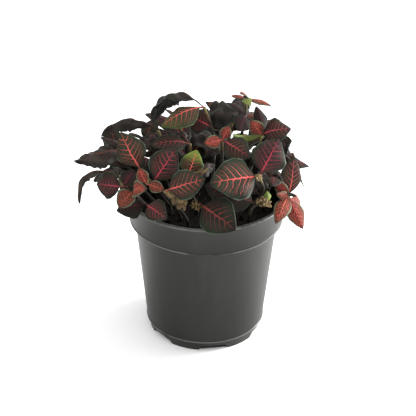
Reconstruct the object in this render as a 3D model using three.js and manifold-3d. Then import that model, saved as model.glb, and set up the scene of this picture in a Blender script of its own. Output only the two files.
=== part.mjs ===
// A potted nerve plant: a thin plastic nursery pot, its potting mix, and leafy shoots that stand in holes in the mix.
// Millimetres, +Z up. The viewer looks along +Y. Everything is placed from the middle of the circle that the pot
// stands on. At the end the whole plant moves sideways, so that its origin is the middle of its outline on the floor.
import * as THREE from "three";
import { mergeVertices } from "three/addons/utils/BufferGeometryUtils.js";
import Module from "manifold-3d";

const wasm = await Module();
wasm.setup();

// Driving dimensions of the pot
const RIM_RADIUS = 52.5;
const POT_HEIGHT = 99.5;
const WALL = 1.4;
const COLLAR_HEIGHT = 20.4;
const COLLAR_TAPER = 4.1;
const COLLAR_STEP = 3;
const FOOT_HEIGHT = 7.5;
const FOOT_TOP_RADIUS = 37.5;
const FOOT_RADIUS = 36.1;
const FOOT_STEP = 0.5;
const FOOT_INSIDE = 32.6;
const LIP_WIDTH = 2.6;
const LIP_HEIGHT = 1.6;
const FLOOR_UNDERSIDE = 4.2;
const POT_SIDES = 48;
const SLOT_COUNT = 6;
const SLOT_FIRST_AZIMUTH = 9.5;
const SLOT_WIDTH_TOP = 15;
const SLOT_WIDTH_BOTTOM = 20;
const SLOT_HEIGHT = 3.6;
const SLOT_DEPTH = 2.4;
const DRAIN_RADIUS = 3.2;
const DRAIN_RING_RADIUS = 22;

// Driving dimensions of the potting mix and the shoots
const GAP = 0.35;
const MIX_LEVEL = 87;
const MIX_BUMP = 0.9;
const MIX_SIDES = 20;
const STEM_RADIUS = 1.25;
const STEM_SIDES = 6;
const STEM_DEPTH = 11;
const HOLE_RADIUS = STEM_RADIUS + 0.75;
const LEAF_THICKNESS = 0.8;
const PETIOLE_SHARE = 0.12;
const PETIOLE_HALF_WIDTH = 0.75;
const LEAF_CLEARANCE = 3;
const POT_CLEARANCE = 2.6;

// The photograph's viewpoint: how far back and how high the camera stands, its downward tilt, its small roll,
// its sideways place, its focal length in pixels and the picture's middle pixel.
const VIEW = { back: 854.1, high: 583.7, tilt: 30.29, roll: 0.8, across: 1.13, focal: 1554.3, middle: 208 };

// Shoots that the photograph shows, bottom to top.
// [name, root x, root y, nodes, leaves]
// A node is [pixel x, pixel y, mm towards the viewer].
// A leaf is [node, tip pixel x, tip pixel y, mm towards the viewer, width mm, lean, side, arch, fold, curl, tone]:
// its upper face leans `lean` degrees from straight up towards compass `side` (0 viewer, 90 right);
// arch is the rise of its midrib over its length; fold and curl are the degrees that its halves drop and roll;
// tone is 0 grown, 1 young, 2 fresh green, 3 wilted, 4 dry.
const SEEN_SHOOTS = [
  ["shoot_front", 2, -26, [[200, 204, 40]], [
    [0, 236, 230, 66, 25, 60, 4, 0.1, 6, 10, 0],
    [0, 192, 207, 42, 8, 50, -30, 0.1, 20, 30, 4],
  ]],
  ["shoot_right_front", 22, -18, [[263, 191, 28], [259, 176, 33]], [
    [1, 206, 185, 46, 27, 56, -4, 0.1, -4, 12, 0],
    [1, 279, 139, 22, 24, 54, 12, 0.12, 8, 18, 0],
    [0, 268, 170, 14, 12, 50, 30, 0.1, 10, 20, 3],
    [0, 233, 176, 18, 16, 30, -20, 0.14, 20, 30, 3],
    [1, 257, 181, 42, 5, 60, 0, 0.2, 30, 60, 4],
  ]],
  ["shoot_right_low", 26, -27, [[254, 206, 37], [268, 202, 33]], [
    [0, 208, 194, 47, 23, 50, -6, 0.1, 4, 12, 0],
    [1, 256, 201, 38, 7, 60, -20, 0.15, 20, 30, 4],
    [1, 258, 207, 41, 7, 60, -20, 0.15, 20, 30, 4],
    [1, 266, 192, 32, 6, 60, 20, 0.15, 20, 30, 2],
  ]],
  ["shoot_left_front", -24, -22, [[144, 203, 33], [134, 191, 40]], [
    [0, 167, 219, 51, 15, 58, 6, 0.12, 4, 12, 0],
    [0, 118, 215, 38, 16, 45, -30, 0.1, 8, 16, 0],
    [1, 119, 208, 48, 13, 58, -20, 0.16, -8, -20, 1],
    [1, 152, 196, 50, 11, 60, 10, 0.16, -8, -14, 1],
  ]],
  ["shoot_left_middle", -16, -20, [[149, 180, 33], [147, 184, 38]], [
    [0, 176, 149, 22, 21, 52, 8, 0.1, 6, 12, 0],
    [1, 139, 168, 34, 8, 60, -20, 0.12, 4, 12, 1],
    [1, 164, 190, 40, 8, 60, 20, 0.12, 4, 12, 1],
  ]],
  ["shoot_left_upper", -22, -12, [[141, 170, 24]], [
    [0, 129, 129, 17, 21, 58, -6, 0.16, 10, 18, 0],
  ]],
  ["shoot_left", -30, -10, [[116, 168, 16], [123, 187, 31]], [
    [0, 80, 203, 24, 11, 30, -60, 0.45, 60, 95, 3],
    [1, 97, 184, 23, 18, 58, -20, 0.12, 4, 16, 0],
    [1, 134, 169, 25, 12, 58, -10, 0.12, 6, 14, 0],
  ]],
  ["shoot_left_back", -26, 6, [[126, 151, 4]], [
    [0, 75, 162, 13, 21, 50, -30, 0.16, 20, 32, 3],
    [0, 104, 142, -10, 10, 20, -60, 0.16, 20, 40, 3],
    [0, 98, 147, 3, 8, 30, -40, 0.16, 30, 40, 3],
  ]],
  ["shoot_left_top", -12, 8, [[158, 131, 0]], [
    [0, 101, 138, 0, 17, 8, -40, 0.3, 40, 40, 3],
    [0, 146, 148, 10, 17, 50, -20, 0.2, 20, 30, 3],
  ]],
  ["shoot_middle_left", -11, -28, [[165, 191, 43]], [
    [0, 205, 179, 43, 19, 54, 4, 0.1, 4, 10, 0],
    [0, 186, 207, 47, 10, 50, 10, 0.15, 30, 60, 4],
    [0, 196, 196, 36, 14, 30, 20, 0.12, 20, 30, 3],
  ]],
  ["shoot_inner_left", -6, -14, [[187, 178, 34]], [
    [0, 197, 150, 29, 15, 64, 8, 0.08, 6, 12, 2],
    [0, 204, 174, 43, 5, 60, 20, 0.2, 30, 60, 4],
    [0, 214, 165, 18, 14, 24, 10, 0.14, 20, 30, 3],
    [0, 171, 170, 18, 13, 24, -10, 0.14, 20, 30, 3],
  ]],
  ["shoot_inner_back", -10, 0, [[190, 144, 6]], [
    [0, 151, 146, 15, 15, 22, -10, 0.12, 6, 14, 0],
    [0, 176, 133, -4, 15, 20, -10, 0.2, 20, 30, 3],
  ]],
  ["shoot_top_left", 3, 2, [[213, 132, 4], [204, 107, 0]], [
    [1, 161, 127, 12, 20, 24, 0, 0.14, 20, 22, 2],
    [0, 189, 115, -8, 18, 60, 4, 0.1, 4, 14, 0],
    [1, 160, 115, -4, 8, 0, 0, 0.14, 20, 40, 3],
    [1, 153, 123, -11, 17, -14, 0, 0.38, 22, 34, 3],
  ]],
  ["shoot_top_middle", 10, -4, [[222, 140, 13]], [
    [0, 204, 144, 21, 9, 60, -10, 0.1, 4, 14, 1],
    [0, 229, 126, 9, 8, 60, 10, 0.1, 4, 14, 1],
    [0, 250, 158, 22, 17, 50, 14, 0.1, 6, 14, 0],
    [0, 206, 155, 20, 13, 26, -10, 0.14, 20, 30, 3],
  ]],
  ["shoot_top_right", 14, 12, [[243, 128, -4], [246, 110, -8], [245, 99, -6]], [
    [1, 203, 126, 2, 27, 34, 0, 0.36, 10, 40, 3],
    [1, 238, 131, 8, 14, 60, 10, 0.14, 6, 14, 0],
    [1, 224, 103, -26, 6, 0, 0, 0.1, 6, 14, 0],
    [2, 271, 106, 0, 9, -14, 0, 0.08, 6, 14, 1],
    [2, 231, 96, -10, 5, 0, 0, 0.1, 6, 14, 1],
    [2, 240, 94, 2, 6, 30, 0, 0.2, 6, 14, 1],
    [2, 252, 99, 4, 6, 30, 0, 0.2, 6, 14, 2],
  ]],
  ["shoot_right_top", 22, 2, [[262, 135, 3]], [
    [0, 291, 129, 7, 19, 46, 14, 0.26, 6, 20, 0],
    [0, 249, 117, 4, 10, 60, -10, 0.1, 4, 14, 1],
    [0, 252, 110, -12, 10, 10, 40, 0.2, 10, 20, 0],
    [0, 237, 127, 9, 6, 40, -20, -0.3, 20, 60, 2],
  ]],
  ["shoot_right_back", 28, 10, [[276, 148, -6]], [
    [0, 292, 141, 0, 17, 44, 24, 0.2, 10, 20, 3],
    [0, 291, 155, -8, 9, 50, 40, 0.12, 10, 20, 0],
    [0, 305, 184, 0, 8, 20, 90, 0.12, 50, 80, 3],
  ]],
  ["shoot_right", 36, -8, [[277, 174, 18], [288, 197, 19]], [
    [1, 294, 157, 8, 16, 64, 20, 0.08, 4, 12, 0],
    [1, 275, 178, 19, 8, 62, -20, 0.1, 6, 14, 1],
    [1, 274, 228, 41, 11, 60, -6, 0.12, 6, 14, 1],
    [1, 292, 229, 21, 10, 60, 20, 0.12, 20, 14, 1],
    [1, 308, 213, 14, 13, 54, 40, 0.14, 6, 14, 1],
    [1, 271, 192, 25, 6, 60, -10, 0.12, 6, 14, 1],
    [1, 292, 199, 27, 6, 60, 20, 0.2, 6, 14, 1],
    [0, 266, 191, 30, 11, 60, -10, 0.1, 6, 14, 0],
  ]],
];

// Shoots on the sides that the photograph doesn't show: [azimuth of the shoot, root radius, tip radius, tip height].
// Azimuth 0 is the viewer's side, 90 the right.
const HIDDEN_SHOOTS = [
  [116, 33, 48, 109],
  [140, 29, 51, 120],
  [168, 34, 56, 110],
  [150, 19, 32, 132],
  [205, 31, 57, 112],
  [213, 15, 31, 128],
  [232, 32, 50, 114],
  [256, 34, 60, 113],
];
const HIDDEN_NODES = 3;
const HIDDEN_LEAF_LENGTH = 35;
const HIDDEN_LEAF_WIDTH = 24;

const COLOURS = {
  pot: [0x3a3b38, 0.42],
  mix: [0x1d1611, 0.95],
  shoot: [0x3c3a2e, 0.55],
};

const degrees = (a) => (a * Math.PI) / 180;
const onAxis = (azimuth, radius, z) =>
  new THREE.Vector3(radius * Math.sin(degrees(azimuth)), -radius * Math.cos(degrees(azimuth)), z);

// A repeatable number from 0 to 1 for leaf or shoot number n.
function chance(n) {
  const x = Math.sin(n * 12.9898 + 4.1414) * 43758.5453;
  return x - Math.floor(x);
}

// The point that the photograph shows at a pixel, on the plane that lies `towards` mm nearer than the pot's axis.
function seen([px, py, towards]) {
  const tilt = degrees(VIEW.tilt);
  const roll = degrees(VIEW.roll);
  const right = (px - VIEW.middle) / VIEW.focal;
  const up = (VIEW.middle - py) / VIEW.focal;
  const a = right * Math.cos(roll) - up * Math.sin(roll);
  const b = right * Math.sin(roll) + up * Math.cos(roll);
  const forward = Math.cos(tilt) + b * Math.sin(tilt);
  const rise = b * Math.cos(tilt) - Math.sin(tilt);
  const reach = (VIEW.back - towards) / forward;
  return new THREE.Vector3(VIEW.across + a * reach, -towards, VIEW.high + rise * reach);
}

// The half width of a leaf as a share of its greatest, from its stem at 0 to its tip at 1.
function outline(t) {
  const u = Math.max(0, (t - PETIOLE_SHARE) / (1 - PETIOLE_SHARE));
  return Math.pow(Math.max(0, Math.sin(Math.PI * Math.pow(u, 0.8))), 0.8);
}

// A leaf from its base to its tip, with the frame in which its blade is bent.
function makeLeaf(base, tip, width, lean, side, arch, fold, curl, tone, number) {
  const chord = tip.clone().sub(base);
  const length = chord.length();
  const l = degrees(lean);
  const s = degrees(side);
  const facing = new THREE.Vector3(Math.sin(l) * Math.sin(s), -Math.sin(l) * Math.cos(s), Math.cos(l));
  const along = chord.clone().divideScalar(length);
  const across = new THREE.Vector3().crossVectors(along, facing).normalize();
  const normal = new THREE.Vector3().crossVectors(across, along);
  return {
    base, along, across, normal, length, width, arch, tone,
    fold: degrees(fold),
    curl: degrees(curl),
    twist: degrees(24 * (chance(number) - 0.5)),
    wave: 0.05 + 0.05 * chance(number + 0.5),
    phase: 2 * Math.PI * chance(number + 0.25),
  };
}

// The point of a leaf's blade at share t of its length and share s of its half width, -1 to 1.
function bladePoint(leaf, s, t) {
  const rise = 4 * leaf.arch * leaf.length;
  const middle = leaf.base.clone()
    .addScaledVector(leaf.along, leaf.length * t)
    .addScaledVector(leaf.normal, rise * t * (1 - t));
  const tangent = leaf.along.clone().multiplyScalar(leaf.length)
    .addScaledVector(leaf.normal, rise * (1 - 2 * t)).normalize();
  const across = leaf.across.clone().applyAxisAngle(tangent, leaf.twist * t);
  const up = new THREE.Vector3().crossVectors(across, tangent);
  const half = Math.max(PETIOLE_HALF_WIDTH, (leaf.width / 2) * outline(t));
  const a = Math.abs(s);
  const bend = leaf.fold + leaf.curl * a;
  const reach = (half * (Math.sin(bend) - Math.sin(leaf.fold))) / leaf.curl;
  const drop = (half * (Math.cos(leaf.fold) - Math.cos(bend))) / leaf.curl;
  const ripple = leaf.wave * half * a * a * Math.sin(4 * Math.PI * t + leaf.phase + Math.sign(s));
  return middle.addScaledVector(across, Math.sign(s) * reach).addScaledVector(up, ripple - drop);
}

// Turns a leaf about its base: lift raises its tip, swing moves it sideways.
function turned(leaf, lift, swing) {
  const copy = { ...leaf };
  for (const key of ["along", "across", "normal"])
    copy[key] = leaf[key].clone()
      .applyAxisAngle(leaf.across, degrees(lift))
      .applyAxisAngle(leaf.normal, degrees(swing));
  return copy;
}

// Points spread over a leaf, which the search for a clear place measures between.
const SAMPLE_ROWS = 11;
const SAMPLE_SHARES = [-1, -0.66, -0.33, 0, 0.33, 0.66, 1];
function samples(leaf) {
  const points = [];
  for (let i = 1; i <= SAMPLE_ROWS; i++)
    for (const s of SAMPLE_SHARES)
      points.push({ at: bladePoint(leaf, s, i / SAMPLE_ROWS), share: i / SAMPLE_ROWS });
  return points;
}

// How deep a point stands in the space of the pot's wall or of the potting mix.
function inPot(p) {
  const radius = Math.hypot(p.x, p.y);
  if (radius < RIM_RADIUS - POT_CLEARANCE - 4) return Math.max(0, MIX_LEVEL + 3 - p.z);
  const wall = RIM_RADIUS + POT_CLEARANCE - Math.max(0, (POT_HEIGHT - p.z) * (COLLAR_TAPER / COLLAR_HEIGHT));
  return radius < wall ? Math.max(0, POT_HEIGHT + POT_CLEARANCE - p.z) : 0;
}

// How much a leaf crowds what has its place already.
const BASE_SHARE = 0.34;
function crowding(leaf, shoot, placed) {
  let total = 0;
  for (const mine of samples(leaf)) {
    total += inPot(mine.at);
    for (const other of placed) {
      if (other.shoot === shoot && (mine.share < BASE_SHARE || other.share < BASE_SHARE)) continue;
      const d = mine.at.distanceTo(other.at);
      if (d < LEAF_CLEARANCE) total += LEAF_CLEARANCE - d;
    }
  }
  return total;
}

// The nearest turn of a leaf that leaves it clear of the others, or the least crowded one.
const LIFTS = [0, 5, -5, 10, -10, 16, -16, 23, -23, 30, -30];
const SWINGS = [0, 6, -6, 12, -12, 20, -20];
function cleared(leaf, shoot, placed, reach) {
  const turns = [];
  for (const lift of LIFTS) for (const swing of SWINGS) turns.push([lift * reach, swing * reach]);
  turns.sort((a, b) => Math.abs(a[0]) + Math.abs(a[1]) - Math.abs(b[0]) - Math.abs(b[1]));
  let best = leaf;
  let least = Infinity;
  for (const [lift, swing] of turns) {
    const tried = turned(leaf, lift, swing);
    const crowd = crowding(tried, shoot, placed);
    if (crowd < least) {
      best = tried;
      least = crowd;
    }
    if (crowd === 0) break;
  }
  return best;
}

// A stem: straight up out of its hole in the mix, then on past its nodes.
// Each node moves to the nearest ring of the stem, so that the leaves on it start inside the stem.
const STEM_END_STEPS = 4;
function growStem(x, y, wanted) {
  const foot = [MIX_LEVEL - STEM_DEPTH, MIX_LEVEL - 4, MIX_LEVEL + 3].map((z) => new THREE.Vector3(x, y, z));
  const line = new THREE.CatmullRomCurve3([...foot, ...wanted], false, "centripetal");
  const steps = wanted.length + STEM_END_STEPS;
  const rings = line.getSpacedPoints(steps);
  const nearest = (node) => rings.reduce((a, b) => (b.distanceTo(node) < a.distanceTo(node) ? b : a));
  return { x, y, line, steps, nodes: wanted.map(nearest) };
}

// Lays out every shoot: its stem's line and its leaves, each turned clear of those before it.
const STEM_SAMPLES = 14;
const SEEN_REACH = 0.6;
const HIDDEN_REACH = 1.3;
function layOut() {
  const placed = [];
  const shoots = [];
  const plans = [];
  let number = 1;
  for (const [name, x, y, pixels, rows] of SEEN_SHOOTS) {
    const stem = growStem(x, y, pixels.map(seen));
    const leaves = rows.map(([node, px, py, towards, width, ...form]) =>
      makeLeaf(stem.nodes[node], seen([px, py, towards]), width, ...form, number++));
    plans.push({ name, ...stem, leaves, hidden: false, reach: SEEN_REACH });
  }
  HIDDEN_SHOOTS.forEach(([azimuth, rootRadius, tipRadius, tipHeight], i) => {
    const root = onAxis(azimuth, rootRadius, MIX_LEVEL);
    const tip = onAxis(azimuth, tipRadius, tipHeight);
    const wanted = [];
    for (let k = 1; k <= HIDDEN_NODES; k++) {
      const share = k / HIDDEN_NODES;
      const node = root.clone().lerp(tip, Math.pow(share, 1.1));
      node.z = MIX_LEVEL + (tipHeight - MIX_LEVEL) * (0.25 + 0.75 * share);
      wanted.push(node);
    }
    const stem = growStem(root.x, root.y, wanted);
    const leaves = [];
    for (let k = 1; k <= HIDDEN_NODES; k++) {
      const node = stem.nodes[k - 1];
      const young = k === HIDDEN_NODES;
      for (const hand of [-1, 1]) {
        const heading = azimuth + hand * (k % 2 ? 80 : 35) + 30 * (chance(number) - 0.5);
        const size = (young ? 0.55 : 1 - 0.12 * k) * (0.85 + 0.3 * chance(number + 0.7));
        const length = HIDDEN_LEAF_LENGTH * size;
        const slope = degrees(young ? 25 : 5 - 14 * chance(number + 0.3));
        const end = node.clone().add(onAxis(heading, length * Math.cos(slope), length * Math.sin(slope)));
        const tone = young ? 1 : chance(number + 0.9) > 0.7 ? 3 : 0;
        leaves.push(makeLeaf(node, end, HIDDEN_LEAF_WIDTH * size, 34, heading, 0.16, 6, 16, tone, number++));
      }
    }
    const name = "shoot_hidden_" + (i + 1);
    plans.push({ name, ...stem, leaves, hidden: true, reach: HIDDEN_REACH });
  });
  for (const plan of plans) {
    plan.line.getSpacedPoints(STEM_SAMPLES).forEach((at) => placed.push({ at, share: 0, shoot: plan.name }));
    shoots.push({ ...plan, leaves: [] });
  }
  for (const shoot of shoots) {
    const plan = plans.find((p) => p.name === shoot.name);
    for (const leaf of plan.leaves) {
      const clear = cleared(leaf, shoot.name, placed, plan.reach);
      shoot.leaves.push(clear);
      for (const p of samples(clear)) placed.push({ ...p, shoot: shoot.name });
    }
  }
  return shoots;
}

// A closed mesh as a solid for joining and cutting.
function solidOf(geometry) {
  const bare = new THREE.BufferGeometry().setAttribute("position", geometry.getAttribute("position").clone());
  if (geometry.index) bare.setIndex(geometry.index.clone());
  const merged = mergeVertices(bare, 1e-4);
  const mesh = new wasm.Mesh({
    numProp: 3,
    vertProperties: new Float32Array(merged.attributes.position.array),
    triVerts: new Uint32Array(merged.index.array),
  });
  return new wasm.Manifold(mesh);
}

// A solid as a mesh with its node's name. Scraps that joining leaves are dropped, and anything larger is an error.
const SCRAP_VOLUME = 1;
function meshOf(name, solid, [colour, roughness]) {
  const bodies = solid.decompose().sort((a, b) => b.volume() - a.volume());
  if (bodies.length > 1 && bodies[1].volume() > SCRAP_VOLUME) throw new Error(name + " isn't in one piece");
  const made = bodies[0].getMesh();
  const positions = new Float32Array(made.numVert * 3);
  for (let i = 0; i < made.numVert; i++)
    positions.set(made.vertProperties.subarray(i * made.numProp, i * made.numProp + 3), i * 3);
  const geometry = new THREE.BufferGeometry()
    .setAttribute("position", new THREE.BufferAttribute(positions, 3))
    .setIndex(new THREE.BufferAttribute(made.triVerts, 1));
  geometry.computeVertexNormals();
  const mesh = new THREE.Mesh(geometry, new THREE.MeshStandardMaterial({ color: colour, roughness, metalness: 0 }));
  mesh.name = name;
  return mesh;
}

// A closed blade: two sheets of the same net, a leaf's thickness apart, joined round the edge.
function bladeSolid(leaf, rows, columns) {
  const step = 0.02;
  const upper = [];
  const lower = [];
  for (let i = 0; i <= rows; i++) {
    const u = (1 - Math.cos((Math.PI * Math.max(0, i - 1)) / (rows - 1))) / 2;
    const t = i === 0 ? 0 : PETIOLE_SHARE + (1 - PETIOLE_SHARE) * u;
    for (let j = 0; j <= columns; j++) {
      const s = -1 + (2 * j) / columns;
      const p = bladePoint(leaf, s, t);
      const ahead = bladePoint(leaf, s, Math.min(1, t + step)).sub(bladePoint(leaf, s, Math.max(0, t - step)));
      const aside = bladePoint(leaf, Math.min(1, s + step), t).sub(bladePoint(leaf, Math.max(-1, s - step), t));
      const out = aside.cross(ahead).normalize().multiplyScalar(LEAF_THICKNESS / 2);
      upper.push(p.clone().add(out));
      lower.push(p.clone().sub(out));
    }
  }
  const points = [...upper, ...lower];
  const at = (i, j) => i * (columns + 1) + j;
  const under = upper.length;
  const index = [];
  for (let i = 0; i < rows; i++)
    for (let j = 0; j < columns; j++) {
      const [a, b, c, d] = [at(i, j), at(i, j + 1), at(i + 1, j + 1), at(i + 1, j)];
      index.push(a, b, c, a, c, d, under + a, under + c, under + b, under + a, under + d, under + c);
    }
  const rim = [];
  for (let j = 0; j < columns; j++) rim.push([at(0, j), at(0, j + 1)]);
  for (let i = 0; i < rows; i++) rim.push([at(i, columns), at(i + 1, columns)]);
  for (let j = columns; j > 0; j--) rim.push([at(rows, j), at(rows, j - 1)]);
  for (let i = rows; i > 0; i--) rim.push([at(i, 0), at(i - 1, 0)]);
  for (const [a, b] of rim) index.push(a, under + a, under + b, a, under + b, b);
  const geometry = new THREE.BufferGeometry().setFromPoints(points).setIndex(index);
  return solidOf(geometry);
}

// A stem with its leaves grown into it, as one body.
// Narrow leaves and those out of the photograph's sight take the coarser net.
const SMALL_WIDTH = 15.5;
const LARGE_NET = [5, 4];
const HIDDEN_NET = [4, 2];
const SMALL_NET = [4, 2];
function shootMesh(shoot) {
  const section = new THREE.Shape();
  for (let i = 0; i < STEM_SIDES; i++) {
    const a = (2 * Math.PI * i) / STEM_SIDES;
    const [x, y] = [STEM_RADIUS * Math.cos(a), STEM_RADIUS * Math.sin(a)];
    if (i === 0) section.moveTo(x, y);
    else section.lineTo(x, y);
  }
  const along = { steps: shoot.steps, bevelEnabled: false, extrudePath: shoot.line };
  const stem = new THREE.ExtrudeGeometry(section, along);
  let solid = solidOf(stem);
  for (const leaf of shoot.leaves) {
    const [rows, columns] = leaf.width < SMALL_WIDTH ? SMALL_NET : shoot.hidden ? HIDDEN_NET : LARGE_NET;
    solid = solid.add(bladeSolid(leaf, rows, columns));
  }
  return meshOf(shoot.name, solid, COLOURS.shoot);
}

function lathe(profile, sides) {
  return new THREE.LatheGeometry(profile.map(([r, z]) => new THREE.Vector2(r, z)), sides).rotateX(Math.PI / 2);
}

// The radius of the body's outside at a height, between its foot and its collar.
function bodyRadius(z) {
  const top = RIM_RADIUS - COLLAR_TAPER - COLLAR_STEP;
  const bottom = FOOT_TOP_RADIUS + FOOT_STEP;
  const share = (z - FOOT_HEIGHT) / (POT_HEIGHT - COLLAR_HEIGHT - FOOT_HEIGHT);
  return bottom + (top - bottom) * share;
}

// The pot: foot ring, tapered body, wide collar and rolled lip, with slots let into the foot and holes in the floor.
function potMesh() {
  const collarBottom = POT_HEIGHT - COLLAR_HEIGHT;
  const collarRadius = RIM_RADIUS - COLLAR_TAPER;
  const floor = FLOOR_UNDERSIDE + WALL;
  const profile = [
    [0, FLOOR_UNDERSIDE], [FOOT_INSIDE - 1, FLOOR_UNDERSIDE], [FOOT_INSIDE, 0], [FOOT_RADIUS, 0],
    [FOOT_TOP_RADIUS, FOOT_HEIGHT - 0.6], [bodyRadius(FOOT_HEIGHT), FOOT_HEIGHT],
    [bodyRadius(collarBottom), collarBottom], [collarRadius, collarBottom + 0.9],
    [RIM_RADIUS - 0.5, POT_HEIGHT - LIP_HEIGHT], [RIM_RADIUS, POT_HEIGHT - LIP_HEIGHT / 2],
    [RIM_RADIUS - 0.6, POT_HEIGHT], [RIM_RADIUS - LIP_WIDTH, POT_HEIGHT - 0.3],
    [collarRadius - WALL, collarBottom + 2.4], [bodyRadius(collarBottom) - WALL, collarBottom + 0.6],
    [bodyRadius(floor + 2) - WALL, floor + 2], [bodyRadius(floor) - WALL - 2, floor], [0, floor],
  ];
  let solid = solidOf(lathe(profile, POT_SIDES));
  for (let i = 0; i < SLOT_COUNT; i++) {
    const azimuth = SLOT_FIRST_AZIMUTH + (360 / SLOT_COUNT) * i;
    const trapezoid = new THREE.Shape([
      new THREE.Vector2(-SLOT_WIDTH_BOTTOM / 2, -1), new THREE.Vector2(SLOT_WIDTH_BOTTOM / 2, -1),
      new THREE.Vector2(SLOT_WIDTH_TOP / 2, SLOT_HEIGHT), new THREE.Vector2(-SLOT_WIDTH_TOP / 2, SLOT_HEIGHT),
    ]);
    const cutter = new THREE.ExtrudeGeometry(trapezoid, { depth: SLOT_DEPTH + 4, bevelEnabled: false })
      .rotateX(Math.PI / 2)
      .translate(0, -FOOT_RADIUS + SLOT_DEPTH, 0)
      .rotateZ(degrees(azimuth));
    solid = solid.subtract(solidOf(cutter));
    const drain = new THREE.CylinderGeometry(DRAIN_RADIUS, DRAIN_RADIUS, 6, 8).rotateX(Math.PI / 2);
    const place = onAxis(azimuth + 30, DRAIN_RING_RADIUS, floor);
    solid = solid.subtract(solidOf(drain.translate(place.x, place.y, place.z)));
  }
  return meshOf("pot", solid, COLOURS.pot);
}

// The potting mix: it fills the pot to below the collar's top, and has a plain hole for each stem.
function mixMesh(shoots) {
  const floor = FLOOR_UNDERSIDE + WALL + GAP;
  const collarBottom = POT_HEIGHT - COLLAR_HEIGHT;
  const inside = (z) => bodyRadius(z) - WALL - GAP;
  const edge = RIM_RADIUS - COLLAR_TAPER - WALL - GAP;
  const profile = [
    [0, floor], [inside(floor) - 2.2, floor], [inside(floor + 2.4), floor + 2.4],
    [inside(collarBottom), collarBottom + 0.6 + GAP], [edge, collarBottom + 3], [edge + 0.4, MIX_LEVEL - 1],
    [edge - 3, MIX_LEVEL], [edge - 13, MIX_LEVEL], [edge - 26, MIX_LEVEL], [edge - 37, MIX_LEVEL], [0, MIX_LEVEL],
  ];
  const geometry = lathe(profile, MIX_SIDES);
  const position = geometry.getAttribute("position");
  for (let i = 0; i < position.count; i++) {
    const [x, y, z] = [position.getX(i), position.getY(i), position.getZ(i)];
    if (z < MIX_LEVEL - 0.5) continue;
    const bump = Math.sin(0.31 * x + 1.3 * Math.sin(0.17 * y)) * Math.cos(0.27 * y - 0.9 * Math.sin(0.21 * x));
    position.setZ(i, z + MIX_BUMP * bump);
  }
  let solid = solidOf(geometry);
  for (const shoot of shoots) {
    const depth = STEM_DEPTH + 0.4 + 4;
    const hole = new THREE.CylinderGeometry(HOLE_RADIUS, HOLE_RADIUS, depth, 6).rotateX(Math.PI / 2);
    const middle = MIX_LEVEL - STEM_DEPTH - 0.4 + depth / 2;
    solid = solid.subtract(solidOf(hole.translate(shoot.x, shoot.y, middle)));
  }
  return meshOf("potting_mix", solid, COLOURS.mix);
}

const shoots = layOut();
const plant = new THREE.Group();
plant.add(potMesh(), mixMesh(shoots), ...shoots.map(shootMesh));
const middle = new THREE.Box3().setFromObject(plant).getCenter(new THREE.Vector3());
plant.position.set(-middle.x, -middle.y, 0);

export default plant;
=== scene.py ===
"""A potted nerve plant: fine leaves, a smooth pot and crumbs of potting mix, dressed over its solids."""
import math

import bmesh
import bpy
import numpy as np
from bpy.props import FloatProperty, FloatVectorProperty, IntProperty, PointerProperty
from mathutils import Matrix, Vector


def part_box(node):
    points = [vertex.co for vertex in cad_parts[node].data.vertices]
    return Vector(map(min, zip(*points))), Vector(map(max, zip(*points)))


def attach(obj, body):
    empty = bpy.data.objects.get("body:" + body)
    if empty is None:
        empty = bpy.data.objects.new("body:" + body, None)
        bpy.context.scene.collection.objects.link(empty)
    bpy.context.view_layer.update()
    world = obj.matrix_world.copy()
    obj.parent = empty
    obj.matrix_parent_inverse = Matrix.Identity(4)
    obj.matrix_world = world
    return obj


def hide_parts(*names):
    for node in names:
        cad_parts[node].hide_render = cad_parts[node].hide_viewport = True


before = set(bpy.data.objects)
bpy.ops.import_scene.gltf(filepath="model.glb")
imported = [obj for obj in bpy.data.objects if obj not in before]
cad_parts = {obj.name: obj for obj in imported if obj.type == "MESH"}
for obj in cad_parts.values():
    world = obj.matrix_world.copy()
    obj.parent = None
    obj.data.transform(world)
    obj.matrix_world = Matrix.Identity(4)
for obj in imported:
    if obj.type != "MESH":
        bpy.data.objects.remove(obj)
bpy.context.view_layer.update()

bl_info = {
    "name": "Potted Nerve Plant",
    "version": (1, 0, 0),
    "blender": (4, 5, 0),
    "location": "3D View > Sidebar > Nerve Plant",
    "description": "Builds a small nerve plant in a plastic nursery pot",
    "category": "Add Mesh",
}

MM = 0.001

# The pot, in millimetres
RIM_RADIUS = 52.5
POT_HEIGHT = 99.5
WALL = 1.4
COLLAR_HEIGHT = 20.4
COLLAR_TAPER = 4.1
COLLAR_STEP = 3.0
FOOT_HEIGHT = 7.5
FOOT_TOP_RADIUS = 37.5
FOOT_RADIUS = 36.1
FOOT_STEP = 0.5
FOOT_INSIDE = 32.6
LIP_WIDTH = 2.6
LIP_HEIGHT = 1.6
FLOOR_UNDERSIDE = 4.2
SLOT_COUNT = 6
SLOT_FIRST_AZIMUTH = 9.5
SLOT_WIDTH_TOP = 15.0
SLOT_WIDTH_BOTTOM = 20.0
SLOT_HEIGHT = 3.6
SLOT_DEPTH = 2.4
BEAD = 0.5
# How wide edges are rounded, from what angle, and the angle from which they stay sharp in shading
EDGE_ROUNDING, ROUNDED_ANGLE, SHARP_ANGLE = 0.35, 35, 40
# Painted highlights on edges of the pot, thin light lines where its rounded edges would catch the light:
# height and half width of each line
HIGHLIGHT_LINES = [(POT_HEIGHT - COLLAR_HEIGHT + 0.6, 0.6), (FOOT_HEIGHT - 0.45, 0.55), (POT_HEIGHT - 0.6, 0.7)]
HIGHLIGHT_COLOUR = (0.09, 0.092, 0.084)
DRAIN_RADIUS = 3.2
DRAIN_RING_RADIUS = 22.0

# The potting mix and the shoots, in millimetres
MIX_LEVEL = 87.0
MIX_BUMP = 0.9
# How far loose crumbs keep from the wall
CRUMB_MARGIN = 3
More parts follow.
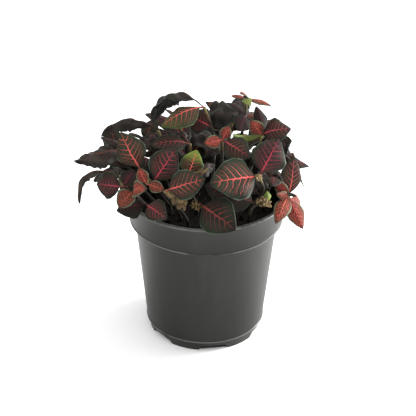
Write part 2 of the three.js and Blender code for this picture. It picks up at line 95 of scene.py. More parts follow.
# Draws up to the first are crumbs of earth, up to the second flakes of bark, and the rest are stones
BARK_FROM, STONE_FROM = 0.6, 0.985
EARTH, BARK, STONE = range(3)
# How thick flakes and other crumbs are, as a share of their size
FLAKE_THICKNESS, CRUMB_THICKNESS = 0.35, 0.8
# Their two mottled tones, roughness, shine, the mottling's scale, and the depth and strength of the grain
MIX_FINISHES = {
    # The earth is a dark mix of its own, made darker still as painted shade for the shadow under the leaves
    # and rim
    "mix_earth": ((0.008, 0.006, 0.004), (0.003, 0.002, 0.0015), 0.95, 0.2, 500.0, 0.0012, 0.9),
    "mix_bark": ((0.03, 0.018, 0.01), (0.012, 0.007, 0.004), 0.85, 0.25, 900.0, 0.0006, 0.7),
    "mix_perlite": ((0.3, 0.28, 0.24), (0.16, 0.15, 0.12), 0.9, 0.3, 900.0, 0.0005, 0.6),
}
STEM_RADIUS = 1.25
STEM_TIP_RADIUS = 0.85
STEM_DEPTH = 11.0
STEM_END_STEPS = 4
# Rings of a stem to each point of its line, its sides, and how much thicker it is at its joints
STEM_STEPS, STEM_SIDES, STEM_SWELL = 6, 12, 0.16
LEAF_THICKNESS = 0.5
PETIOLE_SHARE = 0.12
PETIOLE_HALF_WIDTH = 0.75
# The share of its half width from which a margin rolls, and the width from which a leaf has its full relief
ROLL_FROM, FULL_RELIEF_WIDTH = 0.62, 18
LEAF_CLEARANCE = 3.0
POT_CLEARANCE = 2.6
MIX_CLEARANCE = 3
# The space that is kept free over the rim reaches in by the pot's clearance and this
RIM_INSIDE = 4
# The heights over the mix's level of the straight foot of a stem
STEM_FOOT = (-STEM_DEPTH, -4, 3)

# The photograph's viewpoint: how far back and how high the camera stands, its downward tilt, its small roll,
# its sideways place, its focal length in pixels and the picture's middle pixel.
VIEW = {
    "back": 854.1, "high": 583.7, "tilt": 30.29, "roll": 0.8, "across": 1.13, "focal": 1554.3, "middle": 208,
}
TILT, ROLL = math.radians(VIEW["tilt"]), math.radians(VIEW["roll"])
PICTURE_WIDTH = 416
SENSOR_WIDTH = 36.0

# Shoots that the photograph shows: [name, root x, root y, nodes, leaves], roots in millimetres
# A node is [pixel x, pixel y, mm towards the viewer].
# A leaf is [node, tip pixel x, tip pixel y, mm towards the viewer, width mm, lean, side, arch, fold, curl,
# tone]: its upper face leans `lean` degrees from straight up towards compass `side` (0 viewer, 90 right);
# arch is the rise of its midrib over its length; fold and curl are the degrees that its halves drop and roll;
# tone is the place in TONES.
SEEN_SHOOTS = [
  ["shoot_front", 2, -26, [[200, 204, 40]], [
    [0, 236, 230, 66, 25, 60, 4, 0.1, 6, 10, 0],
    [0, 192, 207, 42, 8, 50, -30, 0.1, 20, 30, 4],
  ]],
  ["shoot_right_front", 22, -18, [[263, 191, 28], [259, 176, 33]], [
    [1, 206, 185, 46, 27, 56, -4, 0.1, -4, 12, 0],
    [1, 279, 139, 22, 24, 54, 12, 0.12, 8, 18, 0],
    [0, 268, 170, 14, 12, 50, 30, 0.1, 10, 20, 3],
    [0, 233, 176, 18, 16, 30, -20, 0.14, 20, 30, 3],
    [1, 257, 181, 42, 5, 60, 0, 0.2, 30, 60, 4],
  ]],
  ["shoot_right_low", 26, -27, [[254, 206, 37], [268, 202, 33]], [
    [0, 208, 194, 47, 23, 50, -6, 0.1, 4, 12, 0],
    [1, 256, 201, 38, 7, 60, -20, 0.15, 20, 30, 4],
    [1, 258, 207, 41, 7, 60, -20, 0.15, 20, 30, 4],
    [1, 266, 192, 32, 6, 60, 20, 0.15, 20, 30, 2],
  ]],
  ["shoot_left_front", -24, -22, [[144, 203, 33], [134, 191, 40]], [
    [0, 167, 219, 51, 15, 58, 6, 0.12, 4, 12, 0],
    [0, 118, 215, 38, 16, 45, -30, 0.1, 8, 16, 0],
    [1, 119, 208, 48, 13, 58, -20, 0.16, -8, -20, 1],
    [1, 152, 196, 50, 11, 60, 10, 0.16, -8, -14, 1],
  ]],
  ["shoot_left_middle", -16, -20, [[149, 180, 33], [147, 184, 38]], [
    [0, 176, 149, 22, 21, 52, 8, 0.1, 6, 12, 0],
    [1, 139, 168, 34, 8, 60, -20, 0.12, 4, 12, 1],
    [1, 164, 190, 40, 8, 60, 20, 0.12, 4, 12, 1],
  ]],
  ["shoot_left_upper", -22, -12, [[141, 170, 24]], [
    [0, 129, 129, 17, 21, 58, -6, 0.16, 10, 18, 0],
  ]],
  ["shoot_left", -30, -10, [[116, 168, 16], [123, 187, 31]], [
    [0, 80, 203, 24, 11, 30, -60, 0.45, 60, 95, 3],
    [1, 97, 184, 23, 18, 58, -20, 0.12, 4, 16, 0],
    [1, 134, 169, 25, 12, 58, -10, 0.12, 6, 14, 0],
  ]],
  ["shoot_left_back", -26, 6, [[126, 151, 4]], [
    [0, 75, 162, 13, 21, 50, -30, 0.16, 20, 32, 3],
    [0, 104, 142, -10, 10, 20, -60, 0.16, 20, 40, 3],
    [0, 98, 147, 3, 8, 30, -40, 0.16, 30, 40, 3],
  ]],
  ["shoot_left_top", -12, 8, [[158, 131, 0]], [
    [0, 101, 138, 0, 17, 8, -40, 0.3, 40, 40, 3],
    [0, 146, 148, 10, 17, 50, -20, 0.2, 20, 30, 3],
  ]],
  ["shoot_middle_left", -11, -28, [[165, 191, 43]], [
    [0, 205, 179, 43, 19, 54, 4, 0.1, 4, 10, 0],
    [0, 186, 207, 47, 10, 50, 10, 0.15, 30, 60, 4],
    [0, 196, 196, 36, 14, 30, 20, 0.12, 20, 30, 3],
  ]],
  ["shoot_inner_left", -6, -14, [[187, 178, 34]], [
    [0, 197, 150, 29, 15, 64, 8, 0.08, 6, 12, 2],
    [0, 204, 174, 43, 5, 60, 20, 0.2, 30, 60, 4],
    [0, 214, 165, 18, 14, 24, 10, 0.14, 20, 30, 3],
    [0, 171, 170, 18, 13, 24, -10, 0.14, 20, 30, 3],
  ]],
  ["shoot_inner_back", -10, 0, [[190, 144, 6]], [
    [0, 151, 146, 15, 15, 22, -10, 0.12, 6, 14, 0],
    [0, 176, 133, -4, 15, 20, -10, 0.2, 20, 30, 3],
  ]],
  ["shoot_top_left", 3, 2, [[213, 132, 4], [204, 107, 0]], [
    [1, 161, 127, 12, 20, 24, 0, 0.14, 20, 22, 2],
    [0, 189, 115, -8, 18, 60, 4, 0.1, 4, 14, 0],
    [1, 160, 115, -4, 8, 0, 0, 0.14, 20, 40, 3],
    [1, 153, 123, -11, 17, -14, 0, 0.38, 22, 34, 3],
  ]],
  ["shoot_top_middle", 10, -4, [[222, 140, 13]], [
    [0, 204, 144, 21, 9, 60, -10, 0.1, 4, 14, 1],
    [0, 229, 126, 9, 8, 60, 10, 0.1, 4, 14, 1],
    [0, 250, 158, 22, 17, 50, 14, 0.1, 6, 14, 0],
    [0, 206, 155, 20, 13, 26, -10, 0.14, 20, 30, 3],
  ]],
  ["shoot_top_right", 14, 12, [[243, 128, -4], [246, 110, -8], [245, 99, -6]], [
    [1, 203, 126, 2, 27, 34, 0, 0.36, 10, 40, 3],
    [1, 238, 131, 8, 14, 60, 10, 0.14, 6, 14, 0],
    [1, 224, 103, -26, 6, 0, 0, 0.1, 6, 14, 0],
    [2, 271, 106, 0, 9, -14, 0, 0.08, 6, 14, 1],
    [2, 231, 96, -10, 5, 0, 0, 0.1, 6, 14, 1],
    [2, 240, 94, 2, 6, 30, 0, 0.2, 6, 14, 1],
    [2, 252, 99, 4, 6, 30, 0, 0.2, 6, 14, 2],
  ]],
  ["shoot_right_top", 22, 2, [[262, 135, 3]], [
    [0, 291, 129, 7, 19, 46, 14, 0.26, 6, 20, 0],
    [0, 249, 117, 4, 10, 60, -10, 0.1, 4, 14, 1],
    [0, 252, 110, -12, 10, 10, 40, 0.2, 10, 20, 0],
    [0, 237, 127, 9, 6, 40, -20, -0.3, 20, 60, 2],
  ]],
  ["shoot_right_back", 28, 10, [[276, 148, -6]], [
    [0, 292, 141, 0, 17, 44, 24, 0.2, 10, 20, 3],
    [0, 291, 155, -8, 9, 50, 40, 0.12, 10, 20, 0],
    [0, 305, 184, 0, 8, 20, 90, 0.12, 50, 80, 3],
  ]],
  ["shoot_right", 36, -8, [[277, 174, 18], [288, 197, 19]], [
    [1, 294, 157, 8, 16, 64, 20, 0.08, 4, 12, 0],
    [1, 275, 178, 19, 8, 62, -20, 0.1, 6, 14, 1],
    [1, 274, 228, 41, 11, 60, -6, 0.12, 6, 14, 1],
    [1, 292, 229, 21, 10, 60, 20, 0.12, 20, 14, 1],
    [1, 308, 213, 14, 13, 54, 40, 0.14, 6, 14, 1],
    [1, 271, 192, 25, 6, 60, -10, 0.12, 6, 14, 1],
    [1, 292, 199, 27, 6, 60, 20, 0.2, 6, 14, 1],
    [0, 266, 191, 30, 11, 60, -10, 0.1, 6, 14, 0],
  ]],
]

# Shoots on the sides that the photograph doesn't show: [azimuth, root radius, tip radius, tip height], with
# azimuth 0 on the viewer's side and 90 on the right.
HIDDEN_SHOOTS = [
  [116, 33, 48, 109],
  [140, 29, 51, 120],
  [168, 34, 56, 110],
  [150, 19, 32, 132],
  [205, 31, 57, 112],
  [213, 15, 31, 128],
  [232, 32, 50, 114],
  [256, 34, 60, 113],
]
HIDDEN_NODES = 3
HIDDEN_LEAF_LENGTH = 35.0
HIDDEN_LEAF_WIDTH = 24.0
HIDDEN_LEAN, HIDDEN_ARCH, HIDDEN_FOLD, HIDDEN_CURL = 34, 0.16, 6, 16
# Their leaves point to both sides of the shoot's azimuth by one of two angles, and stray by a few degrees
HIDDEN_HEADINGS, HEADING_RANGE = (35, 80), 30
# Sizes as shares of the full one: young leaves, what each node takes off, and a draw's least and its range
YOUNG_SIZE, NODE_SHRINK, SIZE_LEAST, SIZE_RANGE = 0.55, 0.12, 0.85, 0.3
# Degrees that young leaves rise, and the most that others rise, with a draw's range below it
YOUNG_SLOPE, SLOPE_MOST, SLOPE_RANGE = 25, 5, 14
# The share of the grown leaves that isn't wilted
HIDDEN_HEALTHY = 0.7

TONES = ("grown", "young", "fresh", "wilted", "dry")
GROWN, YOUNG, WILTED, DRY = (TONES.index(tone) for tone in ("grown", "young", "wilted", "dry"))
# The numbers of the other materials of a shoot
UNDERSIDE, STEM, BRACT = range(len(TONES), len(TONES) + 3)
# Leaves of this width and more get a finer grid
LARGE_WIDTH = 13.5
# Faces across and along a leaf
GRID_LARGE, GRID_LARGE_HIDDEN, GRID_SMALL = (20, 44), (12, 28), (12, 24)

# How single leaves in the photograph differ: {shoot: {leaf: (shade, vividness)}}. Shade 0 is olive with coral
# veins, 1 mauve with crimson ones. Vividness is how strongly the veins stand out; a low one also darkens the
# whole leaf with painted shade, for leaves that lie in shadow.
LEAF_LOOKS = {
    "shoot_front": {0: (0.25, 0.5)},
    "shoot_right_front": {0: (0.12, 1.0), 1: (0.85, 0.85)},
    "shoot_right_low": {0: (0.5, 0.3)},
    "shoot_left_front": {0: (0.6, 1.0), 1: (0.6, 0.25), 2: (0.1, 0.75), 3: (0.45, 1.0)},
    "shoot_left_middle": {0: (0.8, 0.95)},
    "shoot_left_upper": {0: (0.1, 1.0)},
    "shoot_left": {0: (0.0, 1.0), 1: (0.8, 0.75), 2: (1.0, 0.4)},
    "shoot_left_top": {0: (0.1, 0.5)},
    "shoot_middle_left": {0: (0.3, 0.95)},
    "shoot_inner_left": {0: (0.0, 1.0)},
    "shoot_inner_back": {0: (0.5, 0.7)},
    "shoot_top_left": {0: (0.6, 0.85), 1: (0.7, 0.9), 3: (0.1, 0.5)},
    "shoot_top_middle": {2: (0.45, 0.7)},
    "shoot_top_right": {0: (0.3, 0.3), 1: (0.95, 0.35), 2: (0.7, 0.3)},
    "shoot_right_top": {0: (0.6, 0.85), 2: (0.9, 0.3)},
    "shoot_right_back": {1: (0.6, 0.3)},
    "shoot_right": {0: (0.35, 1.0), 2: (0.3, 1.0), 3: (0.9, 0.9), 4: (1.0, 0.9), 7: (0.6, 0.6)},
}
# How vivid leaves without a look of their own are. Low values also darken a leaf as painted shade, most on
# hidden shoots at the back and on their young tips
USUAL_VIVIDNESS_AND_SHADE = 0.9
HIDDEN_VIVIDNESS_AND_SHADE = 0.7
YOUNG_HIDDEN_VIVIDNESS_AND_SHADE = 0.45
# The side veins: how they sweep towards the tip at the midrib, how much more towards the margin, where along
# the leaf the sweep would end, and how far the two halves of a leaf are out of step
VEIN_SWEEP, VEIN_SWEEP_MORE, SWEEP_END, HALVES_APART = 0.2, 0.27, 1.2, 0.02
# Tips of hidden shoots that show between the others and are as dark as grown leaves
FULL_GROWN = {("shoot_hidden_" + str(i), k) for i, k in ((5, 5), (6, 5), (7, 4), (7, 5), (8, 4))}
# Small green bracts
BRACTS = {("shoot_right_low", 3), ("shoot_right_top", 3), ("shoot_top_right", 6)}
# A fold that narrows one half of a leaf near its base: (half, share of the length, share of the half)
FOLDS = {("shoot_right_front", 0): (1, 0.26, 0.34), ("shoot_middle_left", 0): (1, 0.2, 0.2)}
# Blades that turn further towards the viewer at their tips, in radians
TURNS = {("shoot_top_left", 3): 0.7, ("shoot_left_back", 0): 0.5}
# Blades that are broader than their solids
BROADER = {("shoot_top_left", 3): 1.25, ("shoot_right", 3): 1.3}
# Margins that roll under: (half, drop in millimetres)
ROLLS = {("shoot_right", 0): (1, 2.2), ("shoot_left_upper", 0): (-1, 1.4), ("shoot_inner_left", 0): (1, 1.0)}
# How deep the edge is waved and how ragged it is, as shares of the half width, and how far the blade is
# crumpled, as a share of the leaf's width
EDGE_WAVE = 0.07
RAGGED = {WILTED: 0.14, DRY: 0.4}
CRUMPLED = {WILTED: 0.035, DRY: 0.16}

# How each tone looks where it differs from the usual look: the blade's two mottled tones and its tone along
# the middle of a mauve leaf, the veins of an olive and of a mauve leaf, the net between them and the margin
USUAL_LOOK = {
    "side_width": 0.2, "vein_share": 0.6, "third_share": 0.3, "net_share": 0.3, "net_scale": 560.0,
    "margin_share": 0.6, "margin_from": 0.94, "roughness": 0.62, "specular": 0.1,
}
LOOKS = {
    "grown": {
        "blade_shade": (0.006, 0.012, 0.007), "blade_alt": (0.034, 0.014, 0.018),
        "vein_alt": (0.42, 0.045, 0.07), "vein_share": 0.95, "third_share": 0.1,
        "net": (0.085, 0.04, 0.03), "net_share": 0.36,
        "margin": (0.13, 0.15, 0.11), "margin_share": 0.75, "margin_from": 0.95, "roughness": 0.64},
    "young": {
        "blade_shade": (0.026, 0.02, 0.012), "blade_alt": (0.1, 0.022, 0.015), "vein": (0.66, 0.14, 0.09),
        "vein_alt": (0.64, 0.115, 0.105), "vein_share": 0.92, "third_share": 0.2, "net": (0.36, 0.055, 0.038),
        "net_share": 0.6, "margin": (0.12, 0.14, 0.08), "margin_share": 0.9, "margin_from": 0.74},
    "fresh": {
        "blade": (0.026, 0.034, 0.015), "blade_shade": (0.016, 0.022, 0.01), "blade_alt": (0.03, 0.03, 0.018),
        "vein": (0.74, 0.14, 0.11), "vein_alt": (0.62, 0.08, 0.08), "vein_share": 0.92, "third_share": 0.12,
        "net": (0.06, 0.036, 0.02), "net_scale": 620.0, "tip": (0.12, 0.18, 0.03),
        "margin": (0.15, 0.2, 0.08), "margin_share": 0.7},
    "wilted": {
        "blade": (0.027, 0.028, 0.02), "blade_shade": (0.007, 0.007, 0.005),
        "blade_alt": (0.034, 0.026, 0.023), "vein": (0.16, 0.035, 0.03), "vein_alt": (0.07, 0.02, 0.022),
        "net": (0.03, 0.018, 0.016), "margin": (0.045, 0.05, 0.038), "roughness": 0.6, "specular": 0.16},
    "dry": {
        "blade": (0.16, 0.1, 0.045), "blade_shade": (0.022, 0.014, 0.008), "blade_alt": (0.24, 0.18, 0.08),
        "vein": (0.3, 0.2, 0.1), "vein_alt": (0.12, 0.08, 0.04), "side_width": 0.25,
        "net": (0.09, 0.06, 0.03), "net_share": 0.4, "margin": (0.2, 0.17, 0.08), "margin_share": 0.5,
        "margin_from": 0.9, "roughness": 0.8, "specular": 0.2},
    "bract": {
        "blade": (0.17, 0.24, 0.05), "blade_shade": (0.08, 0.13, 0.022), "blade_alt": (0.22, 0.24, 0.07),
        "vein": (0.3, 0.16, 0.06), "vein_alt": (0.3, 0.1, 0.05), "vein_share": 0.5, "third_share": 0.1,
        "net": (0.1, 0.15, 0.03), "margin": (0.13, 0.19, 0.05), "margin_from": 0.9,
        "roughness": 0.55, "specular": 0.15},
}


# Where things stand

pot_low, pot_high = (Vector(corner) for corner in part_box("pot"))
POT_AXIS = Vector(((pot_low.x + pot_high.x) / 2, (pot_low.y + pot_high.y) / 2, 0.0))
# From millimetres round the pot's axis to the frame
TO_FRAME = Matrix.Translation(POT_AXIS) @ Matrix.Scale(MM, 4)
# The stage, in metres: half the floor's side, the middle of the plant, and where each soft light stands from
# there, with its diameter
FLOOR_REACH = 4
PLANT_MIDDLE = POT_AXIS + Vector((0, 0, 0.1))
LIGHTS = {"key": ((0.7, 0.25, 0.8), 0.9), "side": ((0.85, 0.3, 0.07), 0.3)}
FLOOR_WHITE = 0.95


def on_axis(azimuth, radius, z):
    a = math.radians(azimuth)
    return np.array([radius * math.sin(a), -radius * math.cos(a), z])


def chance(n):
    """A repeatable number from 0 to 1 for leaf or shoot number n."""
    x = math.sin(n * 12.9898 + 4.1414) * 43758.5453
    return x - math.floor(x)


def seen(pixel):
    """The point, in millimetres, that a pixel shows `towards` nearer to the viewer than the pot's axis."""
    px, py, towards = pixel
    right = (px - VIEW["middle"]) / VIEW["focal"]
    up = (VIEW["middle"] - py) / VIEW["focal"]
    a = right * math.cos(ROLL) - up * math.sin(ROLL)
    b = right * math.sin(ROLL) + up * math.cos(ROLL)
    forward = math.cos(TILT) + b * math.sin(TILT)
    rise = b * math.cos(TILT) - math.sin(TILT)
    reach = (VIEW["back"] - towards) / forward
    return np.array([VIEW["across"] + a * reach, -towards, VIEW["high"] + rise * reach])


def unit(v):
    return v / np.linalg.norm(v, axis=-1, keepdims=True)


# The form of a leaf

# The range of its blade's twist from base to tip, in degrees, and the least depth of its ripple, as a share
TWIST_RANGE, RIPPLE = 24, 0.05


def outline(t):
    """The half width of a leaf as a share of its greatest, from its stem at 0 to its tip at 1."""
    u = np.clip((t - PETIOLE_SHARE) / (1 - PETIOLE_SHARE), 0, 1)
    return np.clip(np.sin(math.pi * u ** 0.8), 0, None) ** 0.8


def make_leaf(base, tip, width, lean, side, arch, fold, curl, tone, number):
    chord = tip - base
    length = float(np.linalg.norm(chord))
    l, s = math.radians(lean), math.radians(side)
    facing = np.array([math.sin(l) * math.sin(s), -math.sin(l) * math.cos(s), math.cos(l)])
    along = chord / length
    across = unit(np.cross(along, facing))
    return {
        "base": base, "along": along, "across": across, "normal": np.cross(across, along),
        "length": length, "width": width, "arch": arch, "tone": tone, "number": number,
        "fold": math.radians(fold), "curl": math.radians(curl),
        "twist": math.radians(TWIST_RANGE * (chance(number) - 0.5)),
        "wave": RIPPLE + RIPPLE * chance(number + 0.5), "phase": 2 * math.pi * chance(number + 0.25),
    }


def blade_points(leaf, s, t, fine=False):
    """The points of a leaf's blade at shares t of its length and s of its half width, -1 to 1."""
    t3 = t[:, None]
    rise = 4 * leaf["arch"] * leaf["length"]
    middle = leaf["base"] + leaf["along"] * leaf["length"] * t3 + leaf["normal"] * rise * t3 * (1 - t3)
    tangent = unit(leaf["along"] * leaf["length"] + leaf["normal"] * rise * (1 - 2 * t3))
    turn = leaf["twist"] * t3
    across = leaf["across"] * np.cos(turn) + np.cross(tangent, leaf["across"]) * np.sin(turn)
    up = np.cross(across, tangent)
    half = leaf["width"] / 2 * outline(t)
    least = np.where(t < 0.25, PETIOLE_HALF_WIDTH, 0.1) if fine else PETIOLE_HALF_WIDTH
    half = np.maximum(least, half)
    a = np.abs(s)
    bend = leaf["fold"] + leaf["curl"] * a
    reach = half * (np.sin(bend) - math.sin(leaf["fold"])) / leaf["curl"]
    drop = half * (math.cos(leaf["fold"]) - np.cos(bend)) / leaf["curl"]
    ripple = leaf["wave"] * half * a * a * np.sin(4 * math.pi * t + leaf["phase"] + np.sign(s))
    return middle + across * (np.sign(s) * reach)[:, None] + up * (ripple - drop)[:, None]


# The layout, the same as the solids' own: each leaf turns about its base until it's clear of those before it

SAMPLE_ROWS = 11
SAMPLE_SHARES = np.array([-1, -0.66, -0.33, 0, 0.33, 0.66, 1])
SAMPLE_T = np.repeat(np.arange(1, SAMPLE_ROWS + 1) / SAMPLE_ROWS, len(SAMPLE_SHARES))
SAMPLE_S = np.tile(SAMPLE_SHARES, SAMPLE_ROWS)
BASE_SHARE = 0.34
LIFTS = (0, 5, -5, 10, -10, 16, -16, 23, -23, 30, -30)
SWINGS = (0, 6, -6, 12, -12, 20, -20)
STEM_SAMPLES = 14
LINE_STEPS = 200
SEEN_REACH = 0.6
HIDDEN_REACH = 1.3


def rotation(axis, angle):
    return np.array(Matrix.Rotation(math.radians(angle), 3, Vector(axis)))


def turned(leaf, lift, swing):
    turn = rotation(leaf["normal"], swing) @ rotation(leaf["across"], lift)
    return {**leaf, **{key: turn @ leaf[key] for key in ("along", "across", "normal")}}


def in_pot(points):
    """How deep each point stands in the space of the pot's wall or of the potting mix."""
    radius = np.hypot(points[:, 0], points[:, 1])
    z = points[:, 2]
    wall = RIM_RADIUS + POT_CLEARANCE - np.maximum(0, (POT_HEIGHT - z) * (COLLAR_TAPER / COLLAR_HEIGHT))
    over_mix = np.maximum(0, MIX_LEVEL + MIX_CLEARANCE - z)
    over_rim = np.where(radius < wall, np.maximum(0, POT_HEIGHT + POT_CLEARANCE - z), 0)
    return np.where(radius < RIM_RADIUS - POT_CLEARANCE - RIM_INSIDE, over_mix, over_rim)


def cleared(leaf, shoot, placed, reach):
    """The nearest turn of a leaf that leaves it clear of the others, or the least crowded one."""
    turns = [(lift * reach, swing * reach) for lift in LIFTS for swing in SWINGS]
    turns.sort(key=lambda turn: abs(turn[0]) + abs(turn[1]))
    at, share, owner = placed
    own = blade_points(leaf, SAMPLE_S, SAMPLE_T)
    far = np.max(np.linalg.norm(own - leaf["base"], axis=1)) + LEAF_CLEARANCE
    near = np.linalg.norm(at - leaf["base"], axis=1) < far
    at, share, same = at[near], share[near], owner[near] == shoot
    skip = same[None, :] & ((SAMPLE_T[:, None] < BASE_SHARE) | (share[None, :] < BASE_SHARE))
    best, least = leaf, math.inf
    for lift, swing in turns:
        tried = turned(leaf, lift, swing)
        mine = blade_points(tried, SAMPLE_S, SAMPLE_T)
        gap = np.sqrt(((mine[:, None, :] - at[None, :, :]) ** 2).sum(2))
        crowd = in_pot(mine).sum() + np.where(skip, 0, np.maximum(0, LEAF_CLEARANCE - gap)).sum()
        if crowd < least:
            best, least = tried, crowd
        if crowd == 0:
            break
    return best


def smooth_line(points, count):
    """Evenly spaced points on the rounded line through the given ones."""
    p = [2 * points[0] - points[1], *points, 2 * points[-1] - points[-2]]
    spans = len(points) - 1
    fine = []
    for k in range(LINE_STEPS + 1):
        place = spans * k / LINE_STEPS
        i = min(int(place), spans - 1)
        w = place - i
        a, b, c, d = p[i:i + 4]
        d0, d1, d2 = (float(((q - r) ** 2).sum()) ** 0.25 for q, r in ((a, b), (b, c), (c, d)))
        d1 = d1 if d1 >= 1e-4 else 1.0
        d0 = d0 if d0 >= 1e-4 else d1
        d2 = d2 if d2 >= 1e-4 else d1
        m1 = ((b - a) / d0 - (c - a) / (d0 + d1) + (c - b) / d1) * d1
        m2 = ((c - b) / d1 - (d - b) / (d1 + d2) + (d - c) / d2) * d1
        fine.append(b + m1 * w + (3 * (c - b) - 2 * m1 - m2) * w ** 2 + (2 * (b - c) + m1 + m2) * w ** 3)
    fine = np.array(fine)
    run = np.concatenate([[0], np.cumsum(np.linalg.norm(np.diff(fine, axis=0), axis=1))])
    share = np.interp(np.linspace(0, 1, count + 1) * run[-1], run, np.arange(LINE_STEPS + 1))
    low = np.minimum(share.astype(int), LINE_STEPS - 1)
    return fine[low] + (fine[low + 1] - fine[low]) * (share - low)[:, None]


def grow_stem(x, y, wanted):
    """A stem straight up out of its hole in the mix, then past its nodes, which move to its nearest ring."""
    line = [*(np.array([x, y, MIX_LEVEL + rise]) for rise in STEM_FOOT), *wanted]
    rings = smooth_line(line, len(wanted) + STEM_END_STEPS)
    nodes = [rings[np.argmin(np.linalg.norm(rings - node, axis=1))] for node in wanted]
    return line, nodes


def lay_out():
    shoots = []
    number = 1
    for name, x, y, pixels, rows in SEEN_SHOOTS:
        line, nodes = grow_stem(x, y, [seen(pixel) for pixel in pixels])
        leaves = []
        for node, px, py, towards, width, *form in rows:
            leaves.append(make_leaf(nodes[node], seen([px, py, towards]), width, *form, number))
            number += 1
        shoots.append({"name": name, "line": line, "leaves": leaves, "hidden": False, "reach": SEEN_REACH})
    for i, (azimuth, root_radius, tip_radius, tip_height) in enumerate(HIDDEN_SHOOTS):
        root = on_axis(azimuth, root_radius, MIX_LEVEL)
        tip = on_axis(azimuth, tip_radius, tip_height)
        wanted = []
        for k in range(1, HIDDEN_NODES + 1):
            share = k / HIDDEN_NODES
            node = root + (tip - root) * share ** 1.1
            node[2] = MIX_LEVEL + (tip_height - MIX_LEVEL) * (0.25 + 0.75 * share)
            wanted.append(node)
        line, nodes = grow_stem(root[0], root[1], wanted)
        leaves = []
        for k in range(1, HIDDEN_NODES + 1):
            young = k == HIDDEN_NODES
            for hand in (-1, 1):
                heading = azimuth + hand * HIDDEN_HEADINGS[k % 2] + HEADING_RANGE * (chance(number) - 0.5)
                size = YOUNG_SIZE if young else 1 - NODE_SHRINK * k
                size *= SIZE_LEAST + SIZE_RANGE * chance(number + 0.7)
                length = HIDDEN_LEAF_LENGTH * size
                slope = YOUNG_SLOPE if young else SLOPE_MOST - SLOPE_RANGE * chance(number + 0.3)
                slope = math.radians(slope)
                end = nodes[k - 1] + on_axis(heading, length * math.cos(slope), length * math.sin(slope))
                tone = YOUNG if young else WILTED if chance(number + 0.9) > HIDDEN_HEALTHY else GROWN
                form = (HIDDEN_ARCH, HIDDEN_FOLD, HIDDEN_CURL, tone, number)
                leaves.append(make_leaf(
                    nodes[k - 1], end, HIDDEN_LEAF_WIDTH * size, HIDDEN_LEAN, heading, *form))
                number += 1
        name = "shoot_hidden_" + str(i + 1)
        shoots.append({"name": name, "line": line, "leaves": leaves, "hidden": True, "reach": HIDDEN_REACH})
    # Points that stand already, each one's share of its leaf's length and the number of its shoot
    placed = []
    for i, shoot in enumerate(shoots):
        points = smooth_line(shoot["line"], STEM_SAMPLES)
        placed.append((points, np.zeros(len(points)), np.full(len(points), i)))
    for i, shoot in enumerate(shoots):
        for k, leaf in enumerate(shoot["leaves"]):
            clear = cleared(leaf, i, [np.concatenate(part) for part in zip(*placed)], shoot["reach"])
            shoot["leaves"][k] = clear
            placed.append((blade_points(clear, SAMPLE_S, SAMPLE_T), SAMPLE_T, np.full(len(SAMPLE_T), i)))
    return shoots


# Materials

class Value:
    """The output of a material's node. Sums and products of values make more nodes."""

    def __init__(self, tree, socket):
        self.tree = tree
        self.socket = socket

    def __add__(self, other):
        return calc("ADD", self, other)

    def __sub__(self, other):
        return calc("SUBTRACT", self, other)

    def __rsub__(self, other):
        return calc("SUBTRACT", other, self)

    def __mul__(self, other):
        return calc("MULTIPLY", self, other)

    def __truediv__(self, other):
        return calc("DIVIDE", self, other)

    def __abs__(self):
        return calc("ABSOLUTE", self)


def add(tree, kind, inputs=None, output=0, **settings):
    """One output of a new node that has these settings and inputs, each input a constant or a Value."""
    made = tree.nodes.new(kind)
    for key, value in settings.items():
        setattr(made, key, value)
    for key, value in (inputs or {}).items():
        if isinstance(value, Value):
            tree.links.new(value.socket, made.inputs[key])
        else:
            made.inputs[key].default_value = value
    return Value(tree, made.outputs[output])


def calc(operation, *values):
    tree = next(value.tree for value in values if isinstance(value, Value))
    return add(tree, "ShaderNodeMath", dict(enumerate(values)), operation=operation)


def held(value):
    """The value, held between 0 and 1."""
    return add(value.tree, "ShaderNodeClamp", {"Value": value})


def fade(value, low, high):
    """0 below low, 1 above high and smooth between."""
    inputs = {"Value": value, "From Min": low, "From Max": high}
    return add(value.tree, "ShaderNodeMapRange", inputs, interpolation_type="SMOOTHSTEP")


def mix(share, a, b):
    a, b = (side if isinstance(side, Value) else (*side, 1) for side in (a, b))
    return add(share.tree, "ShaderNodeMix", {0: share, 6: a, 7: b}, 2, data_type="RGBA")


def from_line(turns):
    """How far a running count is from its nearest half: 0 on the line, 1 midway between two lines."""
    return abs(calc("FRACT", turns) - 0.5) * 2


def noise(spot, scale, detail=3.0, roughness=0.55):
    inputs = {"Vector": spot, "Scale": scale, "Detail": detail, "Roughness": roughness}
    return add(spot.tree, "ShaderNodeTexNoise", inputs, "Fac")


def attribute(tree, name):
    return add(tree, "ShaderNodeAttribute", None, "Fac", attribute_name=name)


def new_material(name, roughness, specular):
    """A material, its shader and the value that holds where on the object a point is."""
    material = bpy.data.materials.new(name)
    material.use_nodes = True
    shader = material.node_tree.nodes["Principled BSDF"]
    shader.inputs["Roughness"].default_value = roughness
    shader.inputs["Specular IOR Level"].default_value = specular
    return material, shader, add(material.node_tree, "ShaderNodeTexCoord", None, "Object")


def link_surface(shader, colour, height, depth, strength):
    bump = add(colour.tree, "ShaderNodeBump", {"Strength": strength, "Distance": depth, "Height": height})
    colour.tree.links.new(colour.socket, shader.inputs["Base Color"])
    colour.tree.links.new(bump.socket, shader.inputs["Normal"])


